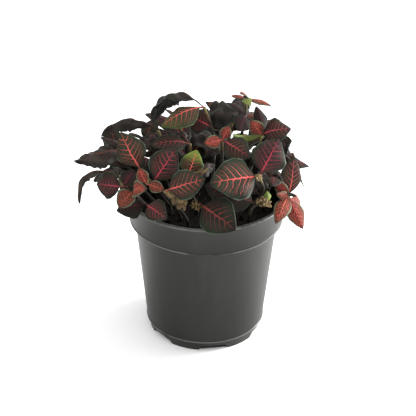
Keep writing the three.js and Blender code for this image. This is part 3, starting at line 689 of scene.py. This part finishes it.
def leaf_material(name, look, pairs, midrib_width):
    """A leaf's upper face: a thick midrib, curved side veins, finer ones, a net between and a pale margin."""
    material, shader, spot = new_material(name, look["roughness"], look["specular"])
    tree = spot.tree
    place = add(tree, "ShaderNodeTexCoord", None, "UV")
    u, t = (add(tree, "ShaderNodeSeparateXYZ", {0: place}, axis) for axis in "XY")
    shade, vivid_and_shade = attribute(tree, "leaf_shade"), attribute(tree, "leaf_vivid")
    wander = (noise(spot, 230.0, 2.0) - 0.5) * (1 - fade(t, 0.7, 1.0))
    across = u * 2 - 1 + wander * 0.13
    side = abs(across)
    inward = held(1 - side)
    # Midrib: a share of the leaf's local width, so it widens where the blade narrows
    taper = (1.06 - t) / calc("MAXIMUM", calc("SINE", t * math.pi), 0.22)
    mid = 1 - fade(side / (taper * midrib_width), 0.5, 1.1)
    # Side veins: they leave the midrib, bend towards the tip and thin out before the margin
    lift = side * (side * VEIN_SWEEP_MORE + VEIN_SWEEP) * (SWEEP_END - t)
    run = t - lift + calc("SIGN", across) * HALVES_APART + wander * 0.075
    turns = run * pairs + shade
    width = (inward * 0.62 + 0.38) * look["side_width"]
    second = 1 - fade(from_line(turns) / width, 0.3, 1.15)
    ends = held(fade(t, 0.1, 0.18) - fade(t, 0.86, 0.94)) * (1 - fade(side, 0.62, 0.95))
    second = second * ends * (fade(noise(spot, 150.0, 2.0), 0.35, 0.62) * 0.45 + 0.55)
    # Finer veins halfway between the side veins
    third = 1 - fade(from_line(turns + wander * 0.8 + 0.5), 0.03, 0.15)
    third = third * ends * fade(side, 0.08, 0.4)
    # Net: the edges of cells between the veins
    inputs = {"Vector": spot, "Scale": look["net_scale"]}
    edge = add(tree, "ShaderNodeTexVoronoi", inputs, "Distance", feature="DISTANCE_TO_EDGE")
    net = (1 - fade(edge, 0.02, 0.16)) * ends * look["net_share"]
    # Colours: the blade, a green tip, the net, the three orders of veins and the margin, then painted shade:
    # all less bright where the leaf is less vivid
    colour = mix(fade(noise(spot, 110.0, 4.0), 0.35, 0.68), look["blade"], look["blade_shade"])
    colour = mix(calc("POWER", inward, 0.6) * (shade * 0.85 + 0.08), colour, look["blade_alt"])
    if "tip" in look:
        colour = mix(fade(t, 0.5, 0.85) * held(shade * -1.4 + 1), colour, look["tip"])
    colour = mix(net * vivid_and_shade, colour, look["net"])
    vein = mix(fade(shade + wander, 0.2, 0.9), look["vein"], look["vein_alt"])
    strong = vivid_and_shade * look["vein_share"]
    colour = mix(third * vivid_and_shade * look["third_share"], colour, vein)
    colour = mix(second * (inward * 0.55 + 0.45) * strong, colour, vein)
    colour = mix(mid * strong * (1 - fade(t, 0.55, 1.0) * 0.5), colour, vein)
    colour = mix(fade(side, look["margin_from"], 0.99) * look["margin_share"], colour, look["margin"])
    # Painted shade: the whole leaf is darkened where its vividness is low, as for leaves lying in shadow
    colour = mix(held(vivid_and_shade * 0.75 + 0.3), (0.0, 0.0, 0.0), colour)
    sunk = mid * 0.6 + second * 0.7 + third * 0.3 + net * 0.35
    link_surface(shader, colour, noise(spot, 1400.0, 2.0) * 0.25 - sunk, 0.0006, 0.6)
    return material


def plain_material(name, light, dark, roughness, specular, scale, depth, strength):
    """A surface with two mottled tones and a fine grain."""
    material, shader, spot = new_material(name, roughness, specular)
    mottle = fade(noise(spot, scale, 5.0, 0.6), 0.35, 0.68)
    link_surface(shader, mix(mottle, light, dark), noise(spot, 900.0) + mottle * 0.4, depth, strength)
    return material


def stem_material():
    """A stem: brown and dull below, darkened further with painted shade, yellow-green with a red tinge
    towards its tip.
    """
    material, shader, spot = new_material("stem_skin", 0.62, 0.25)
    mottle = fade(noise(spot, 320.0, 4.0), 0.38, 0.65)
    # Partly painted shade: the lower stem's brown is made darker than its own colour, for the shadow under
    # the leaves
    old = mix(mottle, (0.024, 0.017, 0.01), (0.011, 0.008, 0.006))
    new = mix(mottle, (0.14, 0.14, 0.035), (0.11, 0.04, 0.025))
    colour = mix(fade(attribute(spot.tree, "leaf_shade"), 0.84, 1.0), old, new)
    link_surface(shader, colour, noise(spot, 900.0) + mottle, 0.0002, 0.5)
    return material


def plastic_material(settings):
    """Dark moulded plastic: a faint grain, dusty streaks down its sides and painted highlight lines along its
    edges.
    """
    material, shader, spot = new_material("pot_plastic_moulded", settings.roughness, 0.24)
    streaks = add(spot.tree, "ShaderNodeMapping", {"Vector": spot, "Scale": (60.0, 60.0, 6.0)})
    dust = fade(noise(streaks, 1.0, 6.0, 0.62), 0.45, 0.75)
    base = tuple(settings.colour)
    colour = mix(dust * 0.55, base, tuple(c * 1.35 + 0.006 for c in base))
    z = add(spot.tree, "ShaderNodeSeparateXYZ", {0: spot}, "Z")
    # Painted highlight: lighter lines at the collar's lower edge, the foot's step and the lip, broken up by
    # noise
    highlight_breaks = fade(noise(spot, 90.0, 2.0), 0.25, 0.5)
    for height, half in HIGHLIGHT_LINES:
        near = 1 - fade(abs(z - height * MM), half * 0.5 * MM, half * MM)
        colour = mix(near * highlight_breaks, colour, HIGHLIGHT_COLOUR)
    link_surface(shader, colour, noise(spot, 1600.0, 2.0) + dust * 0.3, 0.0001, 0.3)
    return material


def leaf_materials(settings):
    """The materials of a shoot, in the order of their numbers."""
    chosen = {
        "grown": {"blade": tuple(settings.blade), "vein": tuple(settings.vein)},
        "young": {"blade": tuple(settings.young)},
    }
    made = {}
    for tone in LOOKS:
        look = {**USUAL_LOOK, **LOOKS[tone], **chosen.get(tone, {})}
        made[tone] = leaf_material("leaf_" + tone, look, settings.vein_pairs, settings.vein_width)
    underside = plain_material(
        "leaf_underside", (0.032, 0.033, 0.026), (0.012, 0.011, 0.01), 0.62, 0.3, 260.0, 0.0004, 0.6)
    return [*(made[tone] for tone in TONES), underside, stem_material(), made["bract"]]


# Shapes

def new_foliage():
    """An empty bmesh and the layers that leaves and stems write: their UVs, shades and vividness, which also
    sets a leaf's painted shade.
    """
    bm = bmesh.new()
    floats = bm.verts.layers.float
    return bm, bm.loops.layers.uv.new("UVMap"), floats.new("leaf_shade"), floats.new("leaf_vivid")


def new_mesh(name, bm):
    mesh = bpy.data.meshes.new(name)
    bm.to_mesh(mesh)
    bm.free()
    return mesh


def new_object(name, data):
    made = bpy.data.objects.new(name, data)
    bpy.context.collection.objects.link(made)
    return made


def new_piece(name, bm, materials, replaced=(), smooth=True):
    """A finished bmesh, in millimetres from the pot's axis, as a piece of the object."""
    bmesh.ops.transform(bm, matrix=TO_FRAME, verts=bm.verts)
    mesh = new_mesh(name, bm)
    for material in materials:
        mesh.materials.append(material)
    if smooth:
        mesh.shade_smooth()
    piece = new_object(name, mesh)
    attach(piece, "root")
    if replaced:
        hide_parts(*replaced)
    return piece


def vein_relief(s, t, start, pairs, depth):
    """How far the blade stands out between its veins, in millimetres."""
    side = np.abs(s)
    lift = side * (VEIN_SWEEP + VEIN_SWEEP_MORE * side) * (SWEEP_END - t)
    cycle = (t - lift + HALVES_APART * np.sign(s)) * pairs + start
    puff = np.abs(np.sin(math.pi * (cycle - np.floor(cycle) - 0.5))) ** 0.7
    inner = np.clip(side / 0.18, 0, 1) * np.clip((1 - side) / 0.2, 0, 1)
    return depth * inner * np.clip((t - PETIOLE_SHARE) / 0.08, 0, 1) * (puff - 0.5)


def edge_share(leaf, fold, s, t):
    """How far out the blade reaches, as a share of its half width: wavy, and ragged if it's wilted or dry."""
    hand = np.sign(s)
    phase = leaf["phase"] + 1.7 * hand
    wavy = 0.5 + 0.5 * np.sin(9.5 * t + phase) * np.sin(23 * t + 2 * phase)
    torn = np.abs(np.sin(15 * t + phase) * np.sin(27 * t + 3 * phase))
    share = 1 - EDGE_WAVE * wavy - RAGGED.get(leaf["tone"], 0) * torn
    if fold:
        side, place, depth = fold
        share = share - np.where(hand == side, depth * np.clip((place + 0.03 - t) / 0.05, 0, 1), 0)
    return share


def outward(leaf, s, t):
    """The directions that the blade faces at shares t of its length and s of its half width."""
    step = 0.01
    low, high = np.maximum(-1, s - step), np.minimum(1, s + step)
    aside = blade_points(leaf, high, t, True) - blade_points(leaf, low, t, True)
    low, high = np.maximum(0, t - step), np.minimum(1, t + step)
    ahead = blade_points(leaf, s, high, True) - blade_points(leaf, s, low, True)
    return unit(np.cross(aside, ahead))


def leaf_look(leaf, shoot, index):
    """A leaf's shade and vividness: its own where the photograph shows it, else by a repeatable draw."""
    draw = chance(leaf["number"] + 0.61)
    usual = (draw, USUAL_VIVIDNESS_AND_SHADE)
    if shoot["hidden"]:
        young = leaf["tone"] == YOUNG
        usual = (0.25 * draw, YOUNG_HIDDEN_VIVIDNESS_AND_SHADE) if young else (draw, HIDDEN_VIVIDNESS_AND_SHADE)
    return LEAF_LOOKS.get(shoot["name"], {}).get(index, usual)


def add_leaf(bm, leaf, settings, shoot, index):
    """One leaf as a thin shell: a flat grid is given its thickness and then bent to the leaf's form."""
    key = (shoot["name"], index)
    grid = GRID_SMALL
    if leaf["width"] >= LARGE_WIDTH:
        grid = GRID_LARGE_HIDDEN if shoot["hidden"] else GRID_LARGE
    leaf = {**leaf, "twist": leaf["twist"] + TURNS.get(key, 0), "width": leaf["width"] * BROADER.get(key, 1)}
    sheet, uv_layer, shade_layer, vivid_and_shade_layer = new_foliage()
    bmesh.ops.create_grid(sheet, x_segments=grid[0], y_segments=grid[1], size=0.5)
    bmesh.ops.solidify(sheet, geom=list(sheet.faces), thickness=LEAF_THICKNESS)
    bmesh.ops.recalc_face_normals(sheet, faces=sheet.faces)
    flat = np.array([v.co[:] for v in sheet.verts])
    s, t = np.clip(flat[:, 0] * 2, -1, 1), np.clip(flat[:, 1] + 0.5, 0, 1)
    level = flat[:, 2] - flat[:, 2].max()
    reach = s * edge_share(leaf, FOLDS.get(key), s, t)
    shade, vivid_and_shade = leaf_look(leaf, shoot, index)
    depth = settings.relief / MM * min(1, leaf["width"] / FULL_RELIEF_WIDTH)
    relief = vein_relief(s, t, shade, settings.vein_pairs, depth)
    if leaf["tone"] in CRUMPLED:
        crumple = np.sin(t * 17 + 4 * s + leaf["phase"]) + 0.8 * np.sin(7 * s - 9 * t + 3 * leaf["phase"])
        relief = relief + CRUMPLED[leaf["tone"]] * leaf["width"] * crumple * np.clip(t * 3, 0, 1)
    if key in ROLLS:
        side, drop = ROLLS[key]
        rolled = np.clip((s * side - ROLL_FROM) / (1 - ROLL_FROM), 0, 1) ** 2
        relief = relief - drop * rolled * np.clip((t - PETIOLE_SHARE) * 5, 0, 1)
    rise = (relief + level + LEAF_THICKNESS / 2)[:, None]
    points = blade_points(leaf, reach, t, True) + outward(leaf, reach, t) * rise
    for vert, point in zip(sheet.verts, points):
        vert.co = point
        vert[shade_layer] = shade
        vert[vivid_and_shade_layer] = vivid_and_shade
    top = level > -LEAF_THICKNESS / 2
    upper = BRACT if key in BRACTS else GROWN if key in FULL_GROWN else leaf["tone"]
    for face in sheet.faces:
        face.material_index = upper if all(top[v.index] for v in face.verts) else UNDERSIDE
        for loop in face.loops:
            loop[uv_layer].uv = ((s[loop.vert.index] + 1) / 2, t[loop.vert.index])
    merge_in(bm, sheet)


def merge_in(bm, other):
    mesh = new_mesh("for_joining", other)
    bm.from_mesh(mesh)
    bpy.data.meshes.remove(mesh)


def add_stem(bm, line):
    """A stem drawn along its line: one ring extruded from point to point, thinner towards its tip."""
    count = STEM_STEPS * len(line)
    points = smooth_line(line, count)
    rod, _, share, _ = new_foliage()
    ring_verts = bmesh.ops.create_circle(rod, cap_ends=True, segments=STEM_SIDES, radius=1.0)["verts"]
    ring_faces = list(rod.faces)
    before = Matrix()
    for k, point in enumerate(points):
        ahead = points[min(k + 1, count)] - points[max(k - 1, 0)]
        turn = Vector((0, 0, 1)).rotation_difference(Vector(ahead)).to_matrix().to_4x4()
        # Above the mix, it swells a little at its joints
        swell = 1 + STEM_SWELL * (k % STEM_STEPS == 0 and k > 2 * STEM_STEPS)
        radius = (STEM_RADIUS + (STEM_TIP_RADIUS - STEM_RADIUS) * k / count) * swell
        here = Matrix.Translation(Vector(point)) @ turn @ Matrix.Scale(radius, 4)
        if k:
            grown = bmesh.ops.extrude_face_region(rod, geom=ring_faces)["geom"]
            ring_faces = [g for g in grown if isinstance(g, bmesh.types.BMFace)]
            ring_verts = [g for g in grown if isinstance(g, bmesh.types.BMVert)]
        bmesh.ops.transform(rod, matrix=here @ before.inverted(), verts=ring_verts)
        for vert in ring_verts:
            vert[share] = k / count
        before = here
    bmesh.ops.recalc_face_normals(rod, faces=rod.faces)
    for face in rod.faces:
        face.material_index = STEM
    merge_in(bm, rod)


def body_radius(z):
    top = RIM_RADIUS - COLLAR_TAPER - COLLAR_STEP
    bottom = FOOT_TOP_RADIUS + FOOT_STEP
    return bottom + (top - bottom) * (z - FOOT_HEIGHT) / (POT_HEIGHT - COLLAR_HEIGHT - FOOT_HEIGHT)


def mix_height(x, y):
    bump = math.sin(0.31 * x + 1.3 * math.sin(0.17 * y)) * math.cos(0.27 * y - 0.9 * math.sin(0.21 * x))
    return MIX_LEVEL + MIX_BUMP * bump


# What a user would change

def colour_property(name, description, default):
    return FloatVectorProperty(
        name=name, description=description, subtype="COLOR", size=3, min=0, max=1, default=default)


class NervePlantPot(bpy.types.PropertyGroup):
    colour: colour_property("Plastic", "Colour of the pot's plastic", (0.0085, 0.0092, 0.0062))
    roughness: FloatProperty(
        name="Roughness", description="How dull the plastic is",
        subtype="FACTOR", min=0, max=1, default=0.42)
    sides: IntProperty(name="Sides", description="Faces around the pot", min=24, max=256, default=144)


class NervePlantLeaves(bpy.types.PropertyGroup):
    vein_pairs: IntProperty(
        name="Vein pairs", description="Side veins on each half of a leaf", min=3, max=14, default=8)
    vein_width: FloatProperty(
        name="Midrib width", description="The midrib's width as a share of the leaf's",
        subtype="FACTOR", min=0.01, max=0.3, default=0.066)
    relief: FloatProperty(
        name="Relief", description="How far a blade stands out between its veins",
        subtype="DISTANCE", unit="LENGTH", min=0, max=0.001, default=0.00035)
    vein: colour_property("Veins", "Colour of a grown leaf's veins", (0.57, 0.095, 0.08))
    blade: colour_property("Blade", "Colour of a grown leaf between its veins", (0.015, 0.028, 0.015))
    young: colour_property("Young blade", "Colour of a young leaf between its veins", (0.045, 0.027, 0.016))


class NervePlantMix(bpy.types.PropertyGroup):
    crumbs: IntProperty(
        name="Crumbs", description="Loose crumbs on the potting mix", min=0, max=3000, default=1100)
    crumb_size: FloatProperty(
        name="Crumb size", description="Size of the largest loose crumbs",
        subtype="DISTANCE", unit="LENGTH", min=0.0002, max=0.004, default=0.0017)


class NervePlantStage(bpy.types.PropertyGroup):
    key_power: FloatProperty(
        name="Key light", description="Power of the large soft light",
        subtype="POWER", unit="POWER", min=0, default=7.0)
    side_power: FloatProperty(
        name="Side light", description="Power of the low light on the right",
        subtype="POWER", unit="POWER", min=0, default=19.0)
    surround: FloatProperty(
        name="Surround", description="Brightness of the white surround", min=0, default=1.4)


def pot_profile():
    """The pot's outline from the middle of its underside, over its lip, to the middle of its inner floor."""
    bottom = POT_HEIGHT - COLLAR_HEIGHT
    collar = RIM_RADIUS - COLLAR_TAPER
    floor = FLOOR_UNDERSIDE + WALL
    foot_bead = FOOT_TOP_RADIUS + BEAD + 0.4
    return [
        (0, FLOOR_UNDERSIDE), (FOOT_INSIDE - 1, FLOOR_UNDERSIDE), (FOOT_INSIDE, 0),
        (FOOT_RADIUS, 0), (FOOT_TOP_RADIUS, FOOT_HEIGHT - 1.1), (foot_bead, FOOT_HEIGHT - 0.7),
        (foot_bead, FOOT_HEIGHT - 0.2), (body_radius(FOOT_HEIGHT), FOOT_HEIGHT + 0.2),
        (body_radius(bottom), bottom), (collar + BEAD, bottom + 0.3), (collar + BEAD, bottom + 0.9),
        (collar + 0.15, bottom + 1.4), (RIM_RADIUS - 0.5, POT_HEIGHT - LIP_HEIGHT),
        (RIM_RADIUS, POT_HEIGHT - LIP_HEIGHT / 2), (RIM_RADIUS - 0.6, POT_HEIGHT),
        (RIM_RADIUS - LIP_WIDTH, POT_HEIGHT - 0.3), (collar - WALL, bottom + 2.4),
        (body_radius(bottom) - WALL, bottom + 0.6), (body_radius(floor + 2) - WALL, floor + 2),
        (body_radius(floor) - WALL - 2, floor), (0, floor),
    ]


def foot_cutters():
    """The slots of the foot and the drain holes between them, as solids to cut away."""
    cutters = bmesh.new()
    for i in range(SLOT_COUNT):
        azimuth = SLOT_FIRST_AZIMUTH + 360 / SLOT_COUNT * i
        made = bmesh.ops.create_cube(cutters, size=1)["verts"]
        for vert in made:
            width = SLOT_WIDTH_TOP if vert.co.z > 0 else SLOT_WIDTH_BOTTOM
            deep = (vert.co.y - 0.5) * (SLOT_DEPTH + 4) - FOOT_RADIUS + SLOT_DEPTH
            vert.co = (vert.co.x * width, deep, SLOT_HEIGHT if vert.co.z > 0 else -1)
        turn = Matrix.Rotation(math.radians(azimuth), 3, "Z")
        bmesh.ops.rotate(cutters, verts=made, cent=(0, 0, 0), matrix=turn)
        place = Vector(on_axis(azimuth + 180 / SLOT_COUNT, DRAIN_RING_RADIUS, FLOOR_UNDERSIDE + WALL))
        bmesh.ops.create_cone(
            cutters, cap_ends=True, segments=24, radius1=DRAIN_RADIUS, radius2=DRAIN_RADIUS, depth=6,
            matrix=Matrix.Translation(place))
    bmesh.ops.transform(cutters, matrix=TO_FRAME, verts=cutters.verts)
    return new_object("foot_cuts", new_mesh("foot_cuts", cutters))


class NERVEPLANT_OT_pot(bpy.types.Operator):
    """Make the smooth plastic pot with its slotted foot"""
    bl_idname = "nerve_plant.pot"
    bl_label = "Make Pot"

    def execute(self, context):
        settings = context.scene.nerve_plant_pot
        bm = bmesh.new()
        verts = [bm.verts.new((r, 0, z)) for r, z in pot_profile()]
        edges = [bm.edges.new(pair) for pair in zip(verts, verts[1:])]
        bmesh.ops.spin(
            bm, geom=[*verts, *edges], axis=(0, 0, 1), cent=(0, 0, 0), angle=2 * math.pi,
            steps=settings.sides, use_merge=True, use_duplicate=False)
        bmesh.ops.remove_doubles(bm, verts=bm.verts, dist=1e-4)
        bmesh.ops.recalc_face_normals(bm, faces=bm.faces)
        pot = new_piece("pot_shell", bm, [plastic_material(settings)], ("pot",))
        tool = foot_cutters()
        cut = pot.modifiers.new("foot", "BOOLEAN")
        cut.operation = "DIFFERENCE"
        cut.solver = "EXACT"
        cut.object = tool
        apply_modifiers(pot)
        bpy.data.objects.remove(tool)
        if len(pot.data.polygons) < settings.sides * 10:
            raise RuntimeError("the pot lost its shape when its foot was cut")
        round_edges = pot.modifiers.new("rounded", "BEVEL")
        round_edges.width = EDGE_ROUNDING * MM
        round_edges.segments = 2
        round_edges.limit_method = "ANGLE"
        round_edges.angle_limit = math.radians(ROUNDED_ANGLE)
        apply_modifiers(pot)
        pot.data.shade_smooth()
        pot.data.set_sharp_from_angle(angle=math.radians(SHARP_ANGLE))
        return {"FINISHED"}


def apply_modifiers(piece):
    depsgraph = bpy.context.evaluated_depsgraph_get()
    mesh = bpy.data.meshes.new_from_object(piece.evaluated_get(depsgraph))
    piece.modifiers.clear()
    old = piece.data
    piece.data = mesh
    mesh.name = piece.name
    bpy.data.meshes.remove(old)


class NERVEPLANT_OT_mix(bpy.types.Operator):
    """Give the potting mix its finish and scatter loose crumbs over it"""
    bl_idname = "nerve_plant.mix"
    bl_label = "Make Potting Mix"

    def execute(self, context):
        settings = context.scene.nerve_plant_mix
        finishes = [plain_material(name, *finish) for name, finish in MIX_FINISHES.items()]
        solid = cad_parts["potting_mix"]
        solid.data.materials.clear()
        solid.data.materials.append(finishes[EARTH])
        bm = bmesh.new()
        edge = RIM_RADIUS - COLLAR_TAPER - WALL - CRUMB_MARGIN
        for n in range(settings.crumbs):
            spot = on_axis(360 * chance(n + 0.37), edge * math.sqrt(chance(n + 0.11)), 0)
            size = settings.crumb_size / MM * (0.25 + 0.75 * chance(n + 0.53) ** 3)
            kind = chance(n + 0.71)
            material = EARTH if kind <= BARK_FROM else BARK if kind < STONE_FROM else STONE
            made = bmesh.ops.create_icosphere(bm, subdivisions=1, radius=size / 2)["verts"]
            thick = FLAKE_THICKNESS if material == BARK else CRUMB_THICKNESS
            bmesh.ops.scale(bm, vec=(1.0, 0.5 + 0.5 * chance(n + 0.83), thick), verts=made)
            for k, vert in enumerate(made):
                vert.co *= 0.8 + 0.4 * chance(n * 13 + k)
            turn = Matrix.Rotation(2 * math.pi * chance(n + 0.19), 3, "Z")
            turn = turn @ Matrix.Rotation(chance(n + 0.43) - 0.5, 3, "X")
            bmesh.ops.rotate(bm, verts=made, cent=(0, 0, 0), matrix=turn)
            spot[2] = mix_height(spot[0], spot[1]) + 0.15 * size
            bmesh.ops.translate(bm, verts=made, vec=spot)
            for face in {f for v in made for f in v.link_faces}:
                face.material_index = material
        new_piece("mix_crumbs", bm, finishes, smooth=False)
        return {"FINISHED"}


class NERVEPLANT_OT_shoots(bpy.types.Operator):
    """Grow every leafy shoot in place of its solid"""
    bl_idname = "nerve_plant.shoots"
    bl_label = "Grow Shoots"

    def execute(self, context):
        settings = context.scene.nerve_plant_leaves
        materials = leaf_materials(settings)
        for shoot in lay_out():
            if shoot["name"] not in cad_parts:
                raise RuntimeError("the model has no solid named " + shoot["name"])
            bm = new_foliage()[0]
            add_stem(bm, shoot["line"])
            for index, leaf in enumerate(shoot["leaves"]):
                add_leaf(bm, leaf, settings, shoot, index)
            new_piece(shoot["name"] + "_fine", bm, materials, (shoot["name"],))
        return {"FINISHED"}


class NERVEPLANT_OT_stage(bpy.types.Operator):
    """Lay the white floor, hang the soft lights and stand the camera at the photograph's viewpoint"""
    bl_idname = "nerve_plant.stage"
    bl_label = "Set Stage"

    def execute(self, context):
        settings = context.scene.nerve_plant_stage
        bm = bmesh.new()
        bmesh.ops.create_grid(bm, x_segments=1, y_segments=1, size=FLOOR_REACH)
        floor = new_object("floor", new_mesh("floor", bm))
        material, shader, _ = new_material("floor_white", 0.9, 0.1)
        shader.inputs["Base Color"].default_value = (FLOOR_WHITE, FLOOR_WHITE, FLOOR_WHITE, 1)
        floor.data.materials.append(material)
        context.scene.view_settings.view_transform = "Standard"
        world = context.scene.world or bpy.data.worlds.new("surround")
        context.scene.world = world
        world.use_nodes = True
        background = world.node_tree.nodes["Background"]
        background.inputs["Color"].default_value = (1, 1, 1, 1)
        background.inputs["Strength"].default_value = settings.surround
        for name, (place, size) in LIGHTS.items():
            data = bpy.data.lights.new(name, "AREA")
            data.shape = "DISK"
            data.size = size
            data.energy = getattr(settings, name + "_power")
            light = new_object(name, data)
            light.location = PLANT_MIDDLE + Vector(place)
            light.rotation_euler = (-Vector(place)).to_track_quat("-Z", "Y").to_euler()
        self.add_camera(context)
        return {"FINISHED"}

    def add_camera(self, context):
        """A camera looks down its own Z axis, so it is tilted up from straight down and then rolled."""
        data = bpy.data.cameras.new("viewer")
        data.sensor_fit = "HORIZONTAL"
        data.sensor_width = SENSOR_WIDTH
        data.lens = VIEW["focal"] * SENSOR_WIDTH / PICTURE_WIDTH
        data.clip_end = 20
        camera = new_object("viewer", data)
        place = TO_FRAME @ Vector((VIEW["across"], -VIEW["back"], VIEW["high"]))
        tilted = Matrix.Rotation(math.pi / 2 - TILT, 4, "X") @ Matrix.Rotation(ROLL, 4, "Z")
        camera.matrix_world = Matrix.Translation(place) @ tilted
        context.scene.camera = camera


class NERVEPLANT_PT_sidebar(bpy.types.Panel):
    """The plant's settings and its steps, in order"""
    bl_label = "Potted Nerve Plant"
    bl_space_type = "VIEW_3D"
    bl_region_type = "UI"
    bl_category = "Nerve Plant"

    def draw(self, context):
        for group_name, step in (("pot", "pot"), ("mix", "mix"), ("leaves", "shoots"), ("stage", "stage")):
            group = getattr(context.scene, "nerve_plant_" + group_name)
            box = self.layout.box()
            for key in group.bl_rna.properties.keys():
                if key not in ("rna_type", "name"):
                    box.prop(group, key)
            box.operator("nerve_plant." + step)


GROUPS = {
    "nerve_plant_pot": NervePlantPot,
    "nerve_plant_mix": NervePlantMix,
    "nerve_plant_leaves": NervePlantLeaves,
    "nerve_plant_stage": NervePlantStage,
}
CLASSES = (
    *GROUPS.values(), NERVEPLANT_OT_pot, NERVEPLANT_OT_mix, NERVEPLANT_OT_shoots, NERVEPLANT_OT_stage,
    NERVEPLANT_PT_sidebar,
)


def register():
    for cls in CLASSES:
        bpy.utils.register_class(cls)
    for name, group in GROUPS.items():
        setattr(bpy.types.Scene, name, PointerProperty(type=group))


def unregister():
    for name in GROUPS:
        delattr(bpy.types.Scene, name)
    for cls in reversed(CLASSES):
        bpy.utils.unregister_class(cls)


def main():
    register()
    bpy.ops.nerve_plant.pot()
    bpy.ops.nerve_plant.mix()
    bpy.ops.nerve_plant.shoots()
    bpy.ops.nerve_plant.stage()


if __name__ == "__main__":
    main()
